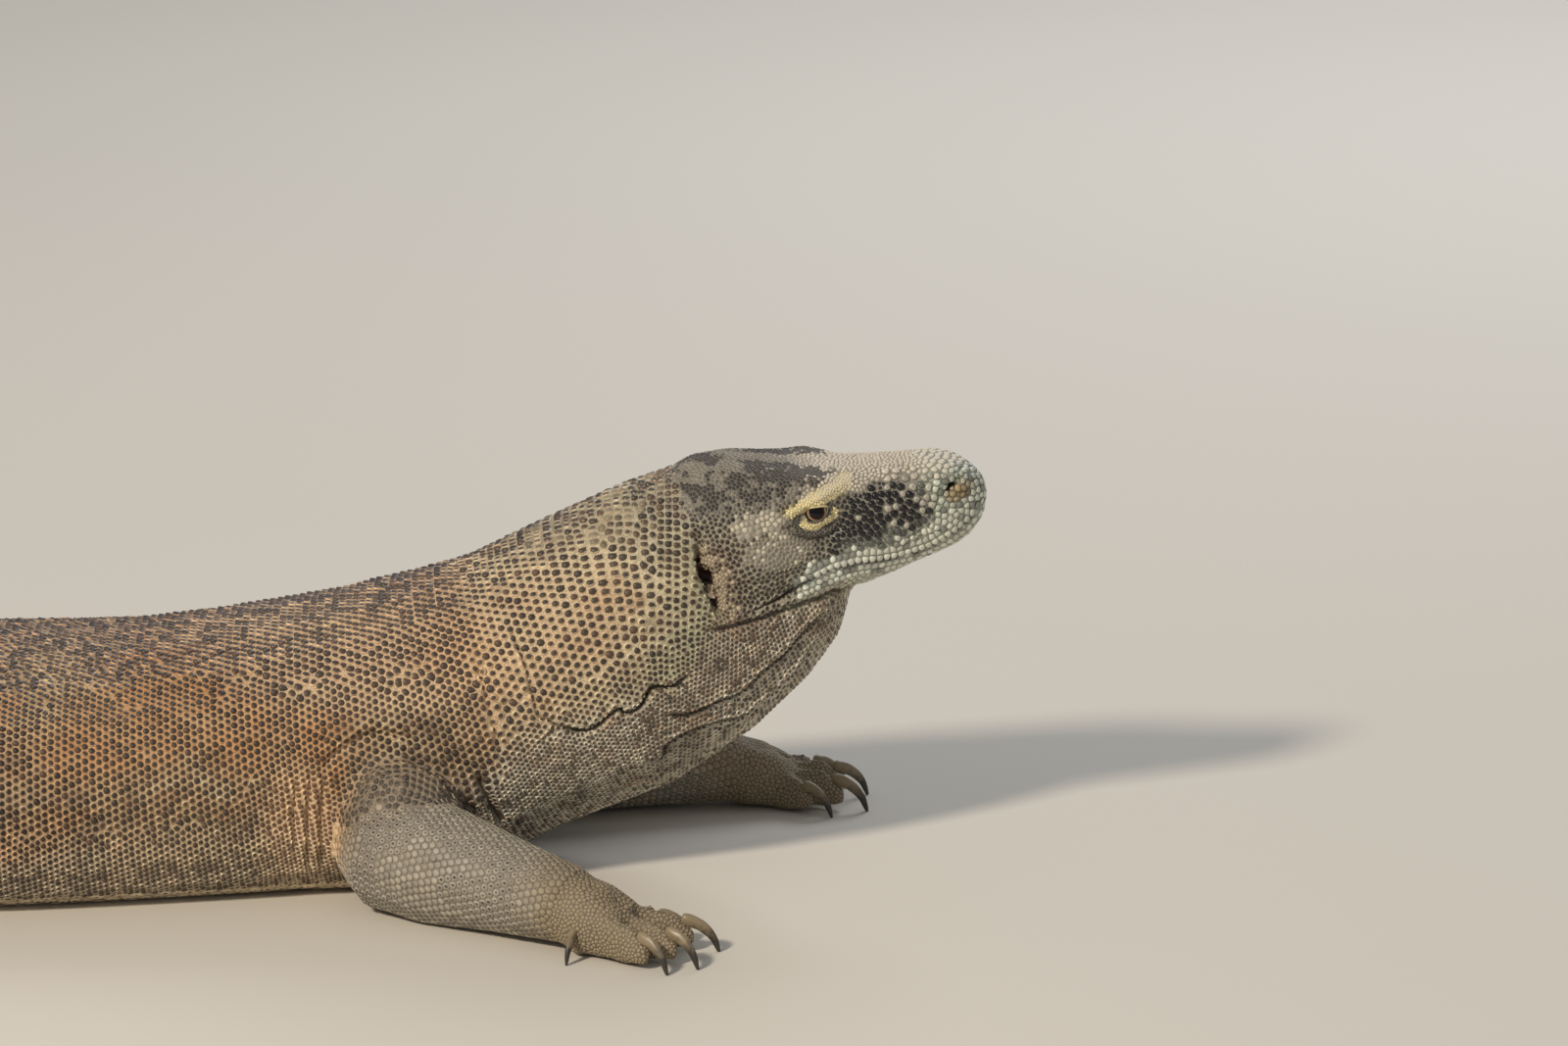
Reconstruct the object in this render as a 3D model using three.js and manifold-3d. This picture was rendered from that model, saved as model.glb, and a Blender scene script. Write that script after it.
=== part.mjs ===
// A Komodo dragon at life size, lying on its belly with its neck and head raised.
// Millimetres. +X runs forward along the body, +Y to its left and +Z up.
// The origin is on the ground, on the midline under the breastbone.
//
// Every solid is a closed unit cylinder bent to a path and swollen to a changing section,
// then cut where it meets its neighbours. All undersides are levelled at the ground, z = 0.

import * as THREE from "three";
import { mergeVertices } from "three/addons/utils/BufferGeometryUtils.js";
import Module from "manifold-3d";

const wasm = await Module();
wasm.setup();

// ---------------------------------------------------------------- driving dimensions
const GAP = 0.3; // clearance between solids that meet
const SLIVER = 0.08; // facets narrower than this are merged after a cut

// How finely each part is faceted: rings along it, or the distance between them, and sides round it.
const TRUNK_FACETS = { pitch: 46, sides: 20 };
const NECK_FACETS = { pitch: 40, sides: 20 };
const TAIL_FACETS = { pitch: 64, sides: 12 };
const SKULL_FACETS = { rings: 15, sides: 20 };
const LIMB_FACETS = { rings: 5, sides: 12 };
const PAD_FACETS = { rings: 3, sides: 10 };
const TOE_FACETS = { rings: 3, sides: 6 };
const CLAW_FACETS = { rings: 3, sides: 5 };

// Head frame: its origin is between the jaw joints, x runs to the snout tip.
const HEAD_AT = [215, 0, 215];
const HEAD_TURN = { roll: 7, pitch: 14, yaw: 2 }; // degrees, snout up and a little to the left
const HEAD_LENGTH = 199; // jaw joint to snout tip
const EYE = { x: 83, y: 31.5, z: 25.5, radius: 11 };
const EAR = { x: -1, y: 58, z: 7, height: 26, width: 8, depth: 9 };
const NOSTRIL = { x: 179, y: 22, z: 16, length: 9, height: 4 };

// Each claw leaves its toe nearly level and ends pointing almost straight down, in degrees.
const CLAW = { length: 37, depth: 5.6, breadth: 3.8, rise: -2, fall: -86 };

// ---------------------------------------------------------------- palette
const finish = (color, roughness) =>
  new THREE.MeshStandardMaterial({ color, roughness, metalness: 0 });
const HIDE_BACK = finish(0x6b5a48, 0.75);
const HIDE_NECK = finish(0x8a7458, 0.75);
const HIDE_FACE = finish(0x5e6058, 0.65);
const HIDE_LIMB = finish(0x7a7260, 0.8);
const HORN = finish(0x6f6a5e, 0.45);
const EYEBALL = finish(0x120c08, 0.08);

// ---------------------------------------------------------------- solids
function solidFrom(geometry) {
  const bare = geometry.clone();
  bare.deleteAttribute("normal");
  bare.deleteAttribute("uv");
  const merged = mergeVertices(bare, 1e-3);
  return new wasm.Manifold(
    new wasm.Mesh({
      numProp: 3,
      vertProperties: new Float32Array(merged.attributes.position.array),
      triVerts: new Uint32Array(merged.index.array),
    }),
  );
}

function geometryFrom(solid) {
  const mesh = solid.getMesh();
  return new THREE.BufferGeometry()
    .setAttribute("position", new THREE.BufferAttribute(mesh.vertProperties, 3))
    .setIndex(new THREE.BufferAttribute(mesh.triVerts, 1));
}

// A cut can leave a crumb beside the piece that is wanted, and slivers along its edge.
function largestPiece(solid) {
  const pieces = solid.decompose().sort((a, b) => b.volume() - a.volume());
  return pieces[0].simplify(SLIVER);
}

const ground = solidFrom(
  new THREE.BoxGeometry(5000, 2000, 400).translate(-700, 0, -200),
);

// ---------------------------------------------------------------- lofting
// Stations are rows [x, y, z, halfWidth, up, down, crown, keel]: the path's point, the section's
// reach to each side, upwards and downwards, and how square its upper and lower halves are
// (2 is an ellipse). A cubic runs through every column.
function smoothRow(stations) {
  const width = stations[0].length;
  const spline = new THREE.CubicInterpolant(
    stations.map((_, i) => i),
    stations.flat(),
    width,
  );
  return (u) => Array.from(spline.evaluate(u));
}

// How the section shrinks towards a rounded end, and where its rings lie.
const ENDS = {
  flat: { ring: (v) => v, size: () => 1 },
  roundStart: {
    ring: (v) => 1 - Math.cos((v * Math.PI) / 2),
    size: (t, dome) => domed(t / dome),
  },
  roundEnd: {
    ring: (v) => Math.sin((v * Math.PI) / 2),
    size: (t, dome) => domed((1 - t) / dome),
  },
  roundBoth: {
    ring: (v) => (1 - Math.cos(v * Math.PI)) / 2,
    size: (t, dome) => domed(t / dome) * domed((1 - t) / dome),
  },
};
const SMALLEST_RING = 0.06;
function domed(share) {
  const k = Math.min(1, Math.max(0, share));
  return Math.max(SMALLEST_RING, Math.sqrt(k * (2 - k)));
}

const bulge = (value, squareness) =>
  Math.sign(value) * Math.abs(value) ** (2 / squareness);

// options: from, to (station numbers), sides, rings, ends, dome (share of the length that rounds
// off), grow (added to every reach) and shape (moves a finished point).
function loft(stations, options) {
  const {
    from = 0,
    to = stations.length - 1,
    sides = 24,
    rings = 8,
    ends = "flat",
    dome = 0.2,
    grow = 0,
    shape = (point) => point,
  } = options;
  const row = smoothRow(stations);
  const end = ENDS[ends];
  const up = new THREE.Vector3(0, 0, 1);
  const cylinder = new THREE.CylinderGeometry(1, 1, 1, sides, rings);
  cylinder.deleteAttribute("normal");
  cylinder.deleteAttribute("uv");
  const wall = mergeVertices(cylinder, 1e-4);
  const position = wall.getAttribute("position");
  const point = new THREE.Vector3();
  for (let i = 0; i < position.count; i++) {
    point.fromBufferAttribute(position, i);
    const reach = Math.min(1, Math.hypot(point.x, point.z));
    const [side, height] = reach > 0.5 ? [point.x, point.z] : [0, 0];
    const share = end.ring(0.5 - point.y);
    const u = from + (to - from) * share;
    const [x, y, z, halfWidth, rise, drop, crown, keel] = row(u);
    const step = 0.02;
    const before = row(Math.max(0, u - step));
    const after = row(Math.min(stations.length - 1, u + step));
    const along = new THREE.Vector3(
      after[0] - before[0],
      after[1] - before[1],
      after[2] - before[2],
    ).normalize();
    const across = new THREE.Vector3().crossVectors(up, along).normalize();
    const above = new THREE.Vector3().crossVectors(along, across);
    const size = end.size(share, dome);
    const square = height > 0 ? crown : keel;
    const tall = (height > 0 ? rise : drop) * size + grow;
    point
      .set(x, y, z)
      .addScaledVector(across, (halfWidth * size + grow) * bulge(side, square))
      .addScaledVector(above, tall * bulge(height, square));
    shape(point, new THREE.Vector3(x, y, z), reach);
    position.setXYZ(i, point.x, point.y, point.z);
  }
  return solidFrom(wall);
}

// ---------------------------------------------------------------- trunk, neck and tail
const TAIL = { start: -760, length: 1150, lift: 68, sway: 95, bend: 250 };

// The tail lies along the ground in one lazy curve and thins evenly to a whip.
function tailStation(share) {
  const thin = (1 - share) ** 1.15;
  return [
    TAIL.start - TAIL.length * share,
    TAIL.sway * Math.sin(share * THREE.MathUtils.degToRad(TAIL.bend)) * share ** 0.7,
    5 + (TAIL.lift - 5) * thin,
    4 + 74 * thin ** 1.12,
    4.5 + 62 * thin,
    5.5 + 65 * thin,
    1.8,
    2.2,
  ];
}
const tailShares = [0, 0.12, 0.27, 0.43, 0.6, 0.77, 0.92, 1];

const spine = [
  [306, 0, 237, 26, 26, 50, 2, 2], // under the skull, inside the head
  [254, 0, 212, 51, 82, 81, 2.1, 2.1], // throat
  [202, 0, 182, 72, 96, 97, 2.1, 2.2], // front of the neck
  [147, 0, 151, 87, 100, 103, 2.1, 2.2], // middle of the neck
  [84, 0, 124, 100, 96, 98, 2.1, 2.4], // root of the neck
  [10, 0, 100, 114, 99, 106, 2.1, 2.9], // shoulders
  [-67, 0, 93, 123, 89, 101, 2.1, 3.2], // breast
  [-170, 0, 85, 144, 80, 94, 2.1, 3.4], // ribs
  [-300, 0, 81, 164, 79, 91, 2.1, 3.4], // belly
  [-430, 0, 80, 160, 77, 89, 2.1, 3.4], // flank
  [-550, 0, 79, 134, 73, 86, 2.1, 3.1], // loin
  [-655, 0, 76, 106, 70, 81, 2, 2.6], // hips
  ...tailShares.map(tailStation),
];
const ON_SPINE = {
  throatTip: 0,
  neckRoot: 4,
  ribs: 7,
  flank: 9,
  tailRoot: 12,
};
const LAST = spine.length - 1;

// A length of the body between two places on the spine, with half a gap taken off each cut end.
function bodyLength(from, to, options) {
  const row = smoothRow(spine);
  const reach = new THREE.Vector3(...row(from)).distanceTo(
    new THREE.Vector3(...row(to)),
  );
  const inset = (GAP / 2 / reach) * (to - from);
  return loft(spine, {
    from: from === 0 ? 0 : from + inset,
    to: to === LAST ? LAST : to - inset,
    rings: Math.max(2, Math.round(reach / options.pitch)),
    ...options,
  });
}

// ---------------------------------------------------------------- head and lower jaw
// Rows [x, halfWidth, top, bottom, crown, keel] in the head frame; every section is widest at the
// height of the mouth's corner.
const WIDEST_LEVEL = 4;
const skull = [
  [-36, 30, 50, -10, 2.1, 2.1], // inside the neck
  [-12, 50, 69, -26, 2.1, 2.2], // nape
  [20, 58, 73, -34, 2.2, 2.3], // jaw muscle
  [50, 53, 65.5, -39, 2.3, 2.3], // temple
  [84, 45, 54, -42, 2.6, 2.3], // eye
  [112, 37.5, 46, -42, 2.7, 2.3], // lore
  [142, 31, 40, -37, 2.7, 2.3], // muzzle
  [172, 27, 35, -32.5, 2.6, 2.3], // nostril
  [HEAD_LENGTH, 24, 29, -31, 2.4, 2.2], // snout tip
].map(([x, halfWidth, top, bottom, crown, keel]) => [
  x,
  0,
  WIDEST_LEVEL,
  halfWidth,
  top - WIDEST_LEVEL,
  WIDEST_LEVEL - bottom,
  crown,
  keel,
]);

// Soft swellings and hollows on both sides: centre, spread along each axis, and push outwards.
const FACE_RELIEF = [
  { name: "brow ridge", at: [80, 33, 50], spread: [19, 8, 8], push: 7 },
  { name: "eye socket", at: [84, 44, 22], spread: [13, 9, 9], push: -6 },
  { name: "jaw muscle", at: [38, 58, -2], spread: [18, 16, 18], push: 3.5 },
  { name: "temple hollow", at: [42, 44, 52], spread: [18, 12, 10], push: -3.5 },
  { name: "forehead dip", at: [100, 0, 48], spread: [26, 13, 10], push: -2.5 },
  { name: "nostril swelling", at: [177, 20, 20], spread: [10, 9, 9], push: 2.5 },
  { name: "upper lip", at: [120, 35, -10], spread: [40, 10, 7], push: 1.8 },
];

function faceRelief(point, centre, reach) {
  if (reach < 0.5) return point;
  const outwards = new THREE.Vector3(0, point.y, point.z - centre.z).normalize();
  let push = 0;
  for (const relief of FACE_RELIEF) {
    const [x, y, z] = relief.at;
    const [sx, sy, sz] = relief.spread;
    const far =
      ((point.x - x) / sx) ** 2 +
      ((Math.abs(point.y) - y) / sy) ** 2 +
      ((point.z - z) / sz) ** 2;
    push += relief.push * Math.exp(-far / 2);
  }
  return point.addScaledVector(outwards, push);
}

function ellipsoid(centre, halves, turn) {
  const ball = new THREE.SphereGeometry(1, 10, 6).scale(...halves);
  return solidFrom(ball.rotateY(THREE.MathUtils.degToRad(turn)).translate(...centre));
}

function eyeball(side, grow) {
  const radius = EYE.radius + grow;
  const ball = new THREE.SphereGeometry(radius, 12, 7);
  return solidFrom(ball.translate(EYE.x, side * EYE.y, EYE.z));
}

// The skull with its jaws still in one, less the sockets, ears and nostrils.
function skullSolid() {
  let skullWhole = loft(skull, {
    ...SKULL_FACETS,
    ends: "roundEnd",
    dome: 0.16,
    shape: faceRelief,
  });
  for (const side of [-1, 1]) {
    const nostril = [NOSTRIL.x, side * NOSTRIL.y, NOSTRIL.z];
    skullWhole = skullWhole
      .subtract(eyeball(side, GAP))
      .subtract(ellipsoid(nostril, [NOSTRIL.length / 2, 5, NOSTRIL.height / 2], -35));
  }
  return skullWhole;
}

// The lines along which the head and neck are parted, seen from the side in the head frame.
// The mouth's: in at the lips, back to the corner, round the jaw's end and out under the chin.
const JAW_CORNER = [10, -24];
const JAW_HEEL = [9, -30];
const mouthLine = [
  [HEAD_LENGTH + 12, -2],
  [192, -8],
  [179, -15],
  [166, -20],
  [152, -23.5],
  [134, -24],
  [117, -21],
  [101, -16.5],
  [86, -15],
  [68, -17],
  [45, -21],
  JAW_CORNER,
  JAW_HEEL,
  [50, -31.5],
  [92, -36],
  [104, -44],
  [112, -80],
];
const napeLine = [
  [-16, 130],
  [-12, 86],
  [-5, 62],
  [-2, 30],
  [-3, -5],
  [2, -18],
  JAW_CORNER,
];
const throatLine = [
  JAW_HEEL,
  [-6, -42],
  [-22, -55],
  [-60, -67],
  [-97, -77],
  [-130, -88],
  [-150, -120],
  [-170, -200],
];

// A sheet one gap thick that follows a line and spans the head from side to side.
function cutAlong(line) {
  const points = line.map(([x, z]) => new THREE.Vector2(x, z));
  const edge = (side) =>
    points.map((point, i) => {
      const before = points[Math.max(0, i - 1)];
      const after = points[Math.min(points.length - 1, i + 1)];
      const along = after.clone().sub(before).normalize();
      const off = new THREE.Vector2(-along.y, along.x).multiplyScalar((side * GAP) / 2);
      return point.clone().add(off);
    });
  const outline = new THREE.Shape([...edge(1), ...edge(-1).reverse()]);
  const SPAN = 300;
  const slab = new THREE.ExtrudeGeometry(outline, { depth: SPAN, bevelEnabled: false });
  return solidFrom(slab.translate(0, 0, -SPAN / 2).rotateX(Math.PI / 2));
}

// The piece that holds a point.
function pieceAt(pieces, point) {
  const probe = solidFrom(new THREE.SphereGeometry(1, 6, 4).translate(...point));
  return pieces.find((piece) => piece.intersect(probe).volume() > 1);
}

// ---------------------------------------------------------------- limbs
// A claw is a flattened horn swept along a quarter turn, from inside the toe to the ground.
const CLAW_ROOT = 7; // how far the horn runs back inside the toe
function claw(toe, size, grow) {
  const turn = THREE.MathUtils.degToRad(CLAW.rise - CLAW.fall);
  const radius = (CLAW.length * size) / turn;
  const start = THREE.MathUtils.degToRad(CLAW.rise);
  const heading = new THREE.Vector2(Math.cos(toe.heading), Math.sin(toe.heading));
  const stations = [0, 0.25, 0.5, 0.75, 1].map((share) => {
    const angle = start - turn * share;
    const forward = radius * (Math.sin(start) - Math.sin(angle)) - CLAW_ROOT * size;
    const lift = radius * (Math.cos(angle) - Math.cos(start));
    const thick = size * (1 - 0.86 * share ** 1.6);
    return [
      toe.tip.x + heading.x * forward,
      toe.tip.y + heading.y * forward,
      toe.tip.z + lift,
      CLAW.breadth * thick,
      CLAW.depth * thick,
      CLAW.depth * thick * 0.9,
      2,
      2,
    ];
  });
  return loft(stations, { ...CLAW_FACETS, grow });
}

// One toe: an arched, padded finger that leaves the foot at the knuckle.
function toe(knuckle, headingDegrees, length, radius) {
  const heading = THREE.MathUtils.degToRad(headingDegrees);
  const at = (forward, rise) => [
    knuckle.x + Math.cos(heading) * forward,
    knuckle.y + Math.sin(heading) * forward,
    radius,
    radius * 0.95,
    radius * rise,
    radius,
    2,
    2,
  ];
  const stations = [
    at(-1.6 * radius, 2.8),
    at(0, 3.8),
    at(length * 0.5, 3.3),
    at(length - radius * 0.5, 2.7),
    at(length + radius * 0.5, 2.1),
  ];
  const tip = new THREE.Vector3(
    knuckle.x + Math.cos(heading) * length,
    knuckle.y + Math.sin(heading) * length,
    radius * 3,
  );
  return {
    solid: loft(stations, { ...TOE_FACETS, ends: "roundEnd", dome: 0.25 }),
    tip,
    heading,
  };
}

// A foot: a flattened pad from the wrist or ankle to the knuckles, with five clawed toes. It
// starts inside the shaft of the limb, so that the bend of the wrist is full on top.
// headingDegrees is where its middle toe points; outwards is +1 if the fifth toe is to its left.
const WRIST_OVERLAP = 14;
function foot(spec) {
  const { wrist, shaft, headingDegrees, outwards, pad, digits, half } = spec;
  const heading = THREE.MathUtils.degToRad(headingDegrees);
  const forward = new THREE.Vector3(Math.cos(heading), Math.sin(heading), 0);
  const sideways = new THREE.Vector3(-forward.y, forward.x, 0).multiplyScalar(outwards);
  const padAt = (share, z, halfWidth, up) => [
    wrist.x + forward.x * pad.length * share,
    wrist.y + forward.y * pad.length * share,
    z,
    halfWidth,
    up,
    z + 2,
    2.2,
    2.6,
  ];
  const inside = wrist.clone().addScaledVector(shaft, -WRIST_OVERLAP);
  const slim = half * 0.84;
  let solid = loft(
    [
      [inside.x, inside.y, inside.z, slim, slim, slim, 2, 2],
      [wrist.x, wrist.y, wrist.z, half, half, half, 2, 2],
      padAt(0.35, wrist.z * 0.75, pad.halfWidth * 0.95, half * 0.96),
      padAt(0.72, wrist.z * 0.6, pad.halfWidth, half * 0.86),
      padAt(1.05, wrist.z * 0.45, pad.halfWidth * 0.85, half * 0.68),
    ],
    { ...PAD_FACETS, ends: "roundEnd", dome: 0.2 },
  );
  const toes = digits.map(({ across, reach, splay, length, radius, claw: clawSize }) => {
    const knuckle = new THREE.Vector3(wrist.x, wrist.y, 0)
      .addScaledVector(forward, pad.length * reach)
      .addScaledVector(sideways, pad.halfWidth * across);
    const made = toe(knuckle, headingDegrees + outwards * splay, length, radius);
    solid = solid.add(made.solid);
    return { ...made, clawSize };
  });
  solid = solid.subtract(ground);
  const claws = toes.map((made) => {
    const horn = claw(made, made.clawSize, 0).subtract(ground);
    solid = solid.subtract(claw(made, made.clawSize, GAP));
    return horn;
  });
  return { solid: largestPiece(solid), claws };
}

// The first toe is the innermost. across places its knuckle from the pad's inner edge, -1, to its
// outer edge, 1, and reach from the wrist, 0, to the knuckles, 1.
const HAND = [
  { across: -0.72, reach: 0.78, splay: -35, length: 25, radius: 7, claw: 0.95 },
  { across: -0.4, reach: 1, splay: -21, length: 37, radius: 7.6, claw: 1.05 },
  { across: 0.13, reach: 1, splay: 8, length: 39, radius: 7.7, claw: 1.05 },
  { across: 0.62, reach: 0.84, splay: 15, length: 34, radius: 7.6, claw: 1.05 },
  { across: 0.5, reach: 0.28, splay: 84, length: 9, radius: 7, claw: 0.95 },
];
const SOLE = [
  { across: -0.66, reach: 0.72, splay: -34, length: 30, radius: 7.1, claw: 0.9 },
  { across: -0.45, reach: 0.98, splay: -16, length: 42, radius: 7.7, claw: 1 },
  { across: 0, reach: 1.04, splay: 0, length: 58, radius: 7.9, claw: 1.05 },
  { across: 0.45, reach: 1, splay: 14, length: 68, radius: 7.7, claw: 1.05 },
  { across: 0.68, reach: 0.36, splay: 60, length: 40, radius: 7.1, claw: 0.95 },
];

const FORE = {
  names: ["upper_arm", "forearm", "hand"],
  digits: HAND,
  upper: [47, 46, 36],
  lower: [39, 43, 26.5],
  wrist: 29,
  pad: { length: 42, halfWidth: 30 },
};
const HIND = {
  names: ["thigh", "shank", "foot"],
  digits: SOLE,
  upper: [60, 61, 41],
  lower: [45, 44, 25.5],
  wrist: 28,
  pad: { length: 64, halfWidth: 32 },
};

// Where each leg's joints lie and where its middle toe points, in degrees from straight ahead.
const LEGS = [
  {
    side: "right", kind: FORE, root: [26, -86, 86], bend: [-2, -118, 42],
    wrist: [128, -212, 29], heading: -25,
  },
  {
    side: "left", kind: FORE, root: [40, 72, 86], bend: [98, 132, 42],
    wrist: [232, 142, 28], heading: 6,
  },
  {
    side: "right", kind: HIND, root: [-646, -36, 66], bend: [-556, -204, 56],
    wrist: [-688, -262, 29], heading: -42,
  },
  {
    side: "left", kind: HIND, root: [-646, 36, 66], bend: [-570, 208, 56],
    wrist: [-712, 248, 29], heading: 48,
  },
];

// A limb segment: a muscle that is fullest a third of the way down and rounds off at its joints.
function segment(from, to, reach, grow, ends) {
  const start = new THREE.Vector3(...from);
  const finish = new THREE.Vector3(...to);
  const along = finish.clone().sub(start).normalize();
  start.addScaledVector(along, -grow);
  finish.addScaledVector(along, grow);
  const [root, belly, end] = reach;
  const stations = [
    [0, root],
    [0.33, belly],
    [0.7, belly * 0.42 + end * 0.58],
    [1, end],
  ].map(([share, radius]) => {
    const { x, y, z } = start.clone().lerp(finish, share);
    return [x, y, z, radius, radius, radius, 2, 2];
  });
  return loft(stations, { ...LIMB_FACETS, ends, dome: 0.24, grow });
}

function legSolids(leg, trunk) {
  const { kind } = leg;
  const outwards = leg.side === "left" ? 1 : -1;
  const wrist = new THREE.Vector3(...leg.wrist);
  const bend = new THREE.Vector3(...leg.bend);
  // The lower segment starts behind the joint, so that the elbow or knee is round.
  const shaft = wrist.clone().sub(bend).normalize();
  const elbow = bend.clone().addScaledVector(shaft, -kind.lower[0] * 0.9).toArray();
  const root = new THREE.Vector3(...leg.root);
  const reach = bend.clone().sub(root).normalize();
  const knee = bend.clone().addScaledVector(reach, kind.upper[2] * 0.6).toArray();
  const lowerAt = (grow) => segment(elbow, leg.wrist, kind.lower, grow, "roundStart");
  const made = foot({
    wrist,
    shaft,
    headingDegrees: leg.heading,
    outwards,
    pad: kind.pad,
    digits: kind.digits,
    half: kind.wrist,
  });
  const lower = lowerAt(0).subtract(ground).subtract(trunk);
  const upper = segment(leg.root, knee, kind.upper, 0, "roundBoth")
    .subtract(lowerAt(GAP))
    .subtract(trunk)
    .subtract(ground);
  // The foot's pad starts inside the wrist, and the shaft of the limb is cut back from it.
  const pad = made.solid.subtract(lowerAt(GAP));
  return {
    upper: largestPiece(upper),
    lower: largestPiece(lower),
    foot: largestPiece(pad),
    claws: made.claws,
  };
}

// ---------------------------------------------------------------- assembly
const dragon = new THREE.Group();

function addPart(group, name, solid, material) {
  const mesh = new THREE.Mesh(geometryFrom(solid), material);
  mesh.name = name;
  group.add(mesh);
}

const headGroup = new THREE.Group();
headGroup.position.set(...HEAD_AT);
headGroup.rotation.set(
  THREE.MathUtils.degToRad(HEAD_TURN.roll),
  THREE.MathUtils.degToRad(-HEAD_TURN.pitch),
  THREE.MathUtils.degToRad(HEAD_TURN.yaw),
  "ZYX",
);
headGroup.updateMatrixWorld(true);
const intoHead = headGroup.matrixWorld.clone().invert();

// The head and neck are made whole in the head frame, then parted by three thin cuts.
const neckLength = bodyLength(ON_SPINE.throatTip, ON_SPINE.neckRoot, {
  ...NECK_FACETS,
  ends: "roundStart",
  dome: 0.1,
}).subtract(ground);
let headAndNeck = skullSolid().add(neckLength.transform(intoHead.toArray()));
for (const side of [-1, 1]) {
  const ear = [EAR.x, side * EAR.y, EAR.z];
  headAndNeck = headAndNeck.subtract(
    ellipsoid(ear, [EAR.width / 2, EAR.depth, EAR.height / 2], 12),
  );
}
for (const line of [mouthLine, napeLine, throatLine])
  headAndNeck = headAndNeck.subtract(cutAlong(line));
const headPieces = headAndNeck.decompose();
const IN_HEAD = [60, 0, 20];
const IN_JAW = [140, 0, -32];
const IN_THROAT = [60, 0, -70];
const IN_NECK = [-60, 0, 0];
addPart(headGroup, "head", pieceAt(headPieces, IN_HEAD).simplify(SLIVER), HIDE_FACE);
addPart(headGroup, "lower_jaw", pieceAt(headPieces, IN_JAW), HIDE_FACE);
addPart(headGroup, "throat", pieceAt(headPieces, IN_THROAT), HIDE_NECK);
addPart(headGroup, "neck", pieceAt(headPieces, IN_NECK), HIDE_NECK);
addPart(headGroup, "eye_right", eyeball(-1, 0), EYEBALL);
addPart(headGroup, "eye_left", eyeball(1, 0), EYEBALL);
dragon.add(headGroup);

const bodyGroup = new THREE.Group();
const trunkLengths = [
  ["chest", ON_SPINE.neckRoot, ON_SPINE.ribs],
  ["belly", ON_SPINE.ribs, ON_SPINE.flank],
  ["pelvis", ON_SPINE.flank, ON_SPINE.tailRoot],
];
for (const [name, from, to] of trunkLengths)
  addPart(bodyGroup, name, bodyLength(from, to, TRUNK_FACETS).subtract(ground), HIDE_BACK);

const TAIL_PIECES = 5;
const tailStep = (LAST - ON_SPINE.tailRoot) / TAIL_PIECES;
for (let i = 0; i < TAIL_PIECES; i++) {
  const from = ON_SPINE.tailRoot + i * tailStep;
  const to = i === TAIL_PIECES - 1 ? LAST : from + tailStep;
  const piece = bodyLength(from, to, TAIL_FACETS);
  addPart(bodyGroup, `tail_${i + 1}`, piece.subtract(ground), HIDE_BACK);
}
dragon.add(bodyGroup);

// The room the trunk and neck take up, from which every limb is cut back.
const trunkRoom = loft(spine, {
  from: 1,
  to: ON_SPINE.tailRoot + 2,
  sides: TRUNK_FACETS.sides,
  rings: 30,
  grow: GAP + 0.6,
});
for (const leg of LEGS) {
  const legGroup = new THREE.Group();
  const made = legSolids(leg, trunkRoom);
  const [upper, lower, end] = leg.kind.names;
  addPart(legGroup, `${upper}_${leg.side}`, made.upper, HIDE_LIMB);
  addPart(legGroup, `${lower}_${leg.side}`, made.lower, HIDE_LIMB);
  addPart(legGroup, `${end}_${leg.side}`, made.foot, HIDE_LIMB);
  made.claws.forEach((horn, i) =>
    addPart(legGroup, `claw_${end}_${leg.side}_${i + 1}`, horn, HORN),
  );
  dragon.add(legGroup);
}

export default dragon;
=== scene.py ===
"""A life-size Komodo dragon as a museum would show it: one hide, its scales, eyes and claws.

Metres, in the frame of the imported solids: +X forward along the body, +Y to its left, +Z up.
The hide is remeshed from the solids of flesh, smoothed and folded. The scales are laid on it in
rows, evened out, and each is cut to the cell that its neighbours leave it.
"""

import math
from types import SimpleNamespace

import bmesh
import bpy
import numpy as np
from mathutils import Euler, Matrix, Vector, kdtree, noise
from mathutils.bvhtree import BVHTree


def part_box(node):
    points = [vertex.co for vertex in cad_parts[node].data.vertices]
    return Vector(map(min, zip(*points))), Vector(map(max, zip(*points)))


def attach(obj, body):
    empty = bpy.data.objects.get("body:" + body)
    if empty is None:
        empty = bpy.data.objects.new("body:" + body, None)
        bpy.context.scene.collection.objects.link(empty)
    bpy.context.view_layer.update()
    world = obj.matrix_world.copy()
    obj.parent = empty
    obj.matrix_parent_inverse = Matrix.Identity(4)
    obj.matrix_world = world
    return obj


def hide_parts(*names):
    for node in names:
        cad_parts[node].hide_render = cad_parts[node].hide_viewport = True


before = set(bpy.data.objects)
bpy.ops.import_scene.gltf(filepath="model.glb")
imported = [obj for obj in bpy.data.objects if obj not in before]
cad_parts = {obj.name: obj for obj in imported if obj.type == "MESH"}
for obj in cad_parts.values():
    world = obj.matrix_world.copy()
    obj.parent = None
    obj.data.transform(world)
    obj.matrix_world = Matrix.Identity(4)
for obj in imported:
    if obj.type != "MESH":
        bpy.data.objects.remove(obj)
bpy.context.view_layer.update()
MM = 0.001

# ---------------------------------------------------------------- driving sizes
TRUNK = ["chest", "belly", "pelvis"]
TAIL = [f"tail_{i}" for i in range(1, 6)]
HEAD = ["head", "lower_jaw"]
NECK = ["neck", "throat"]
EYES = ["eye_right", "eye_left"]
SIDES = ["right", "left"]
UPPER_LEGS = [f"{part}_{side}" for part in ("upper_arm", "thigh") for side in SIDES]
LOWER_LEGS = [f"{part}_{side}" for part in ("forearm", "shank") for side in SIDES]
PAWS = [f"{part}_{side}" for part in ("hand", "foot") for side in SIDES]
CLAWS = [f"claw_{paw}_{i}" for paw in PAWS for i in range(1, 6)]
FLESH = HEAD + NECK + TRUNK + TAIL + UPPER_LEGS + LOWER_LEGS + PAWS

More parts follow.
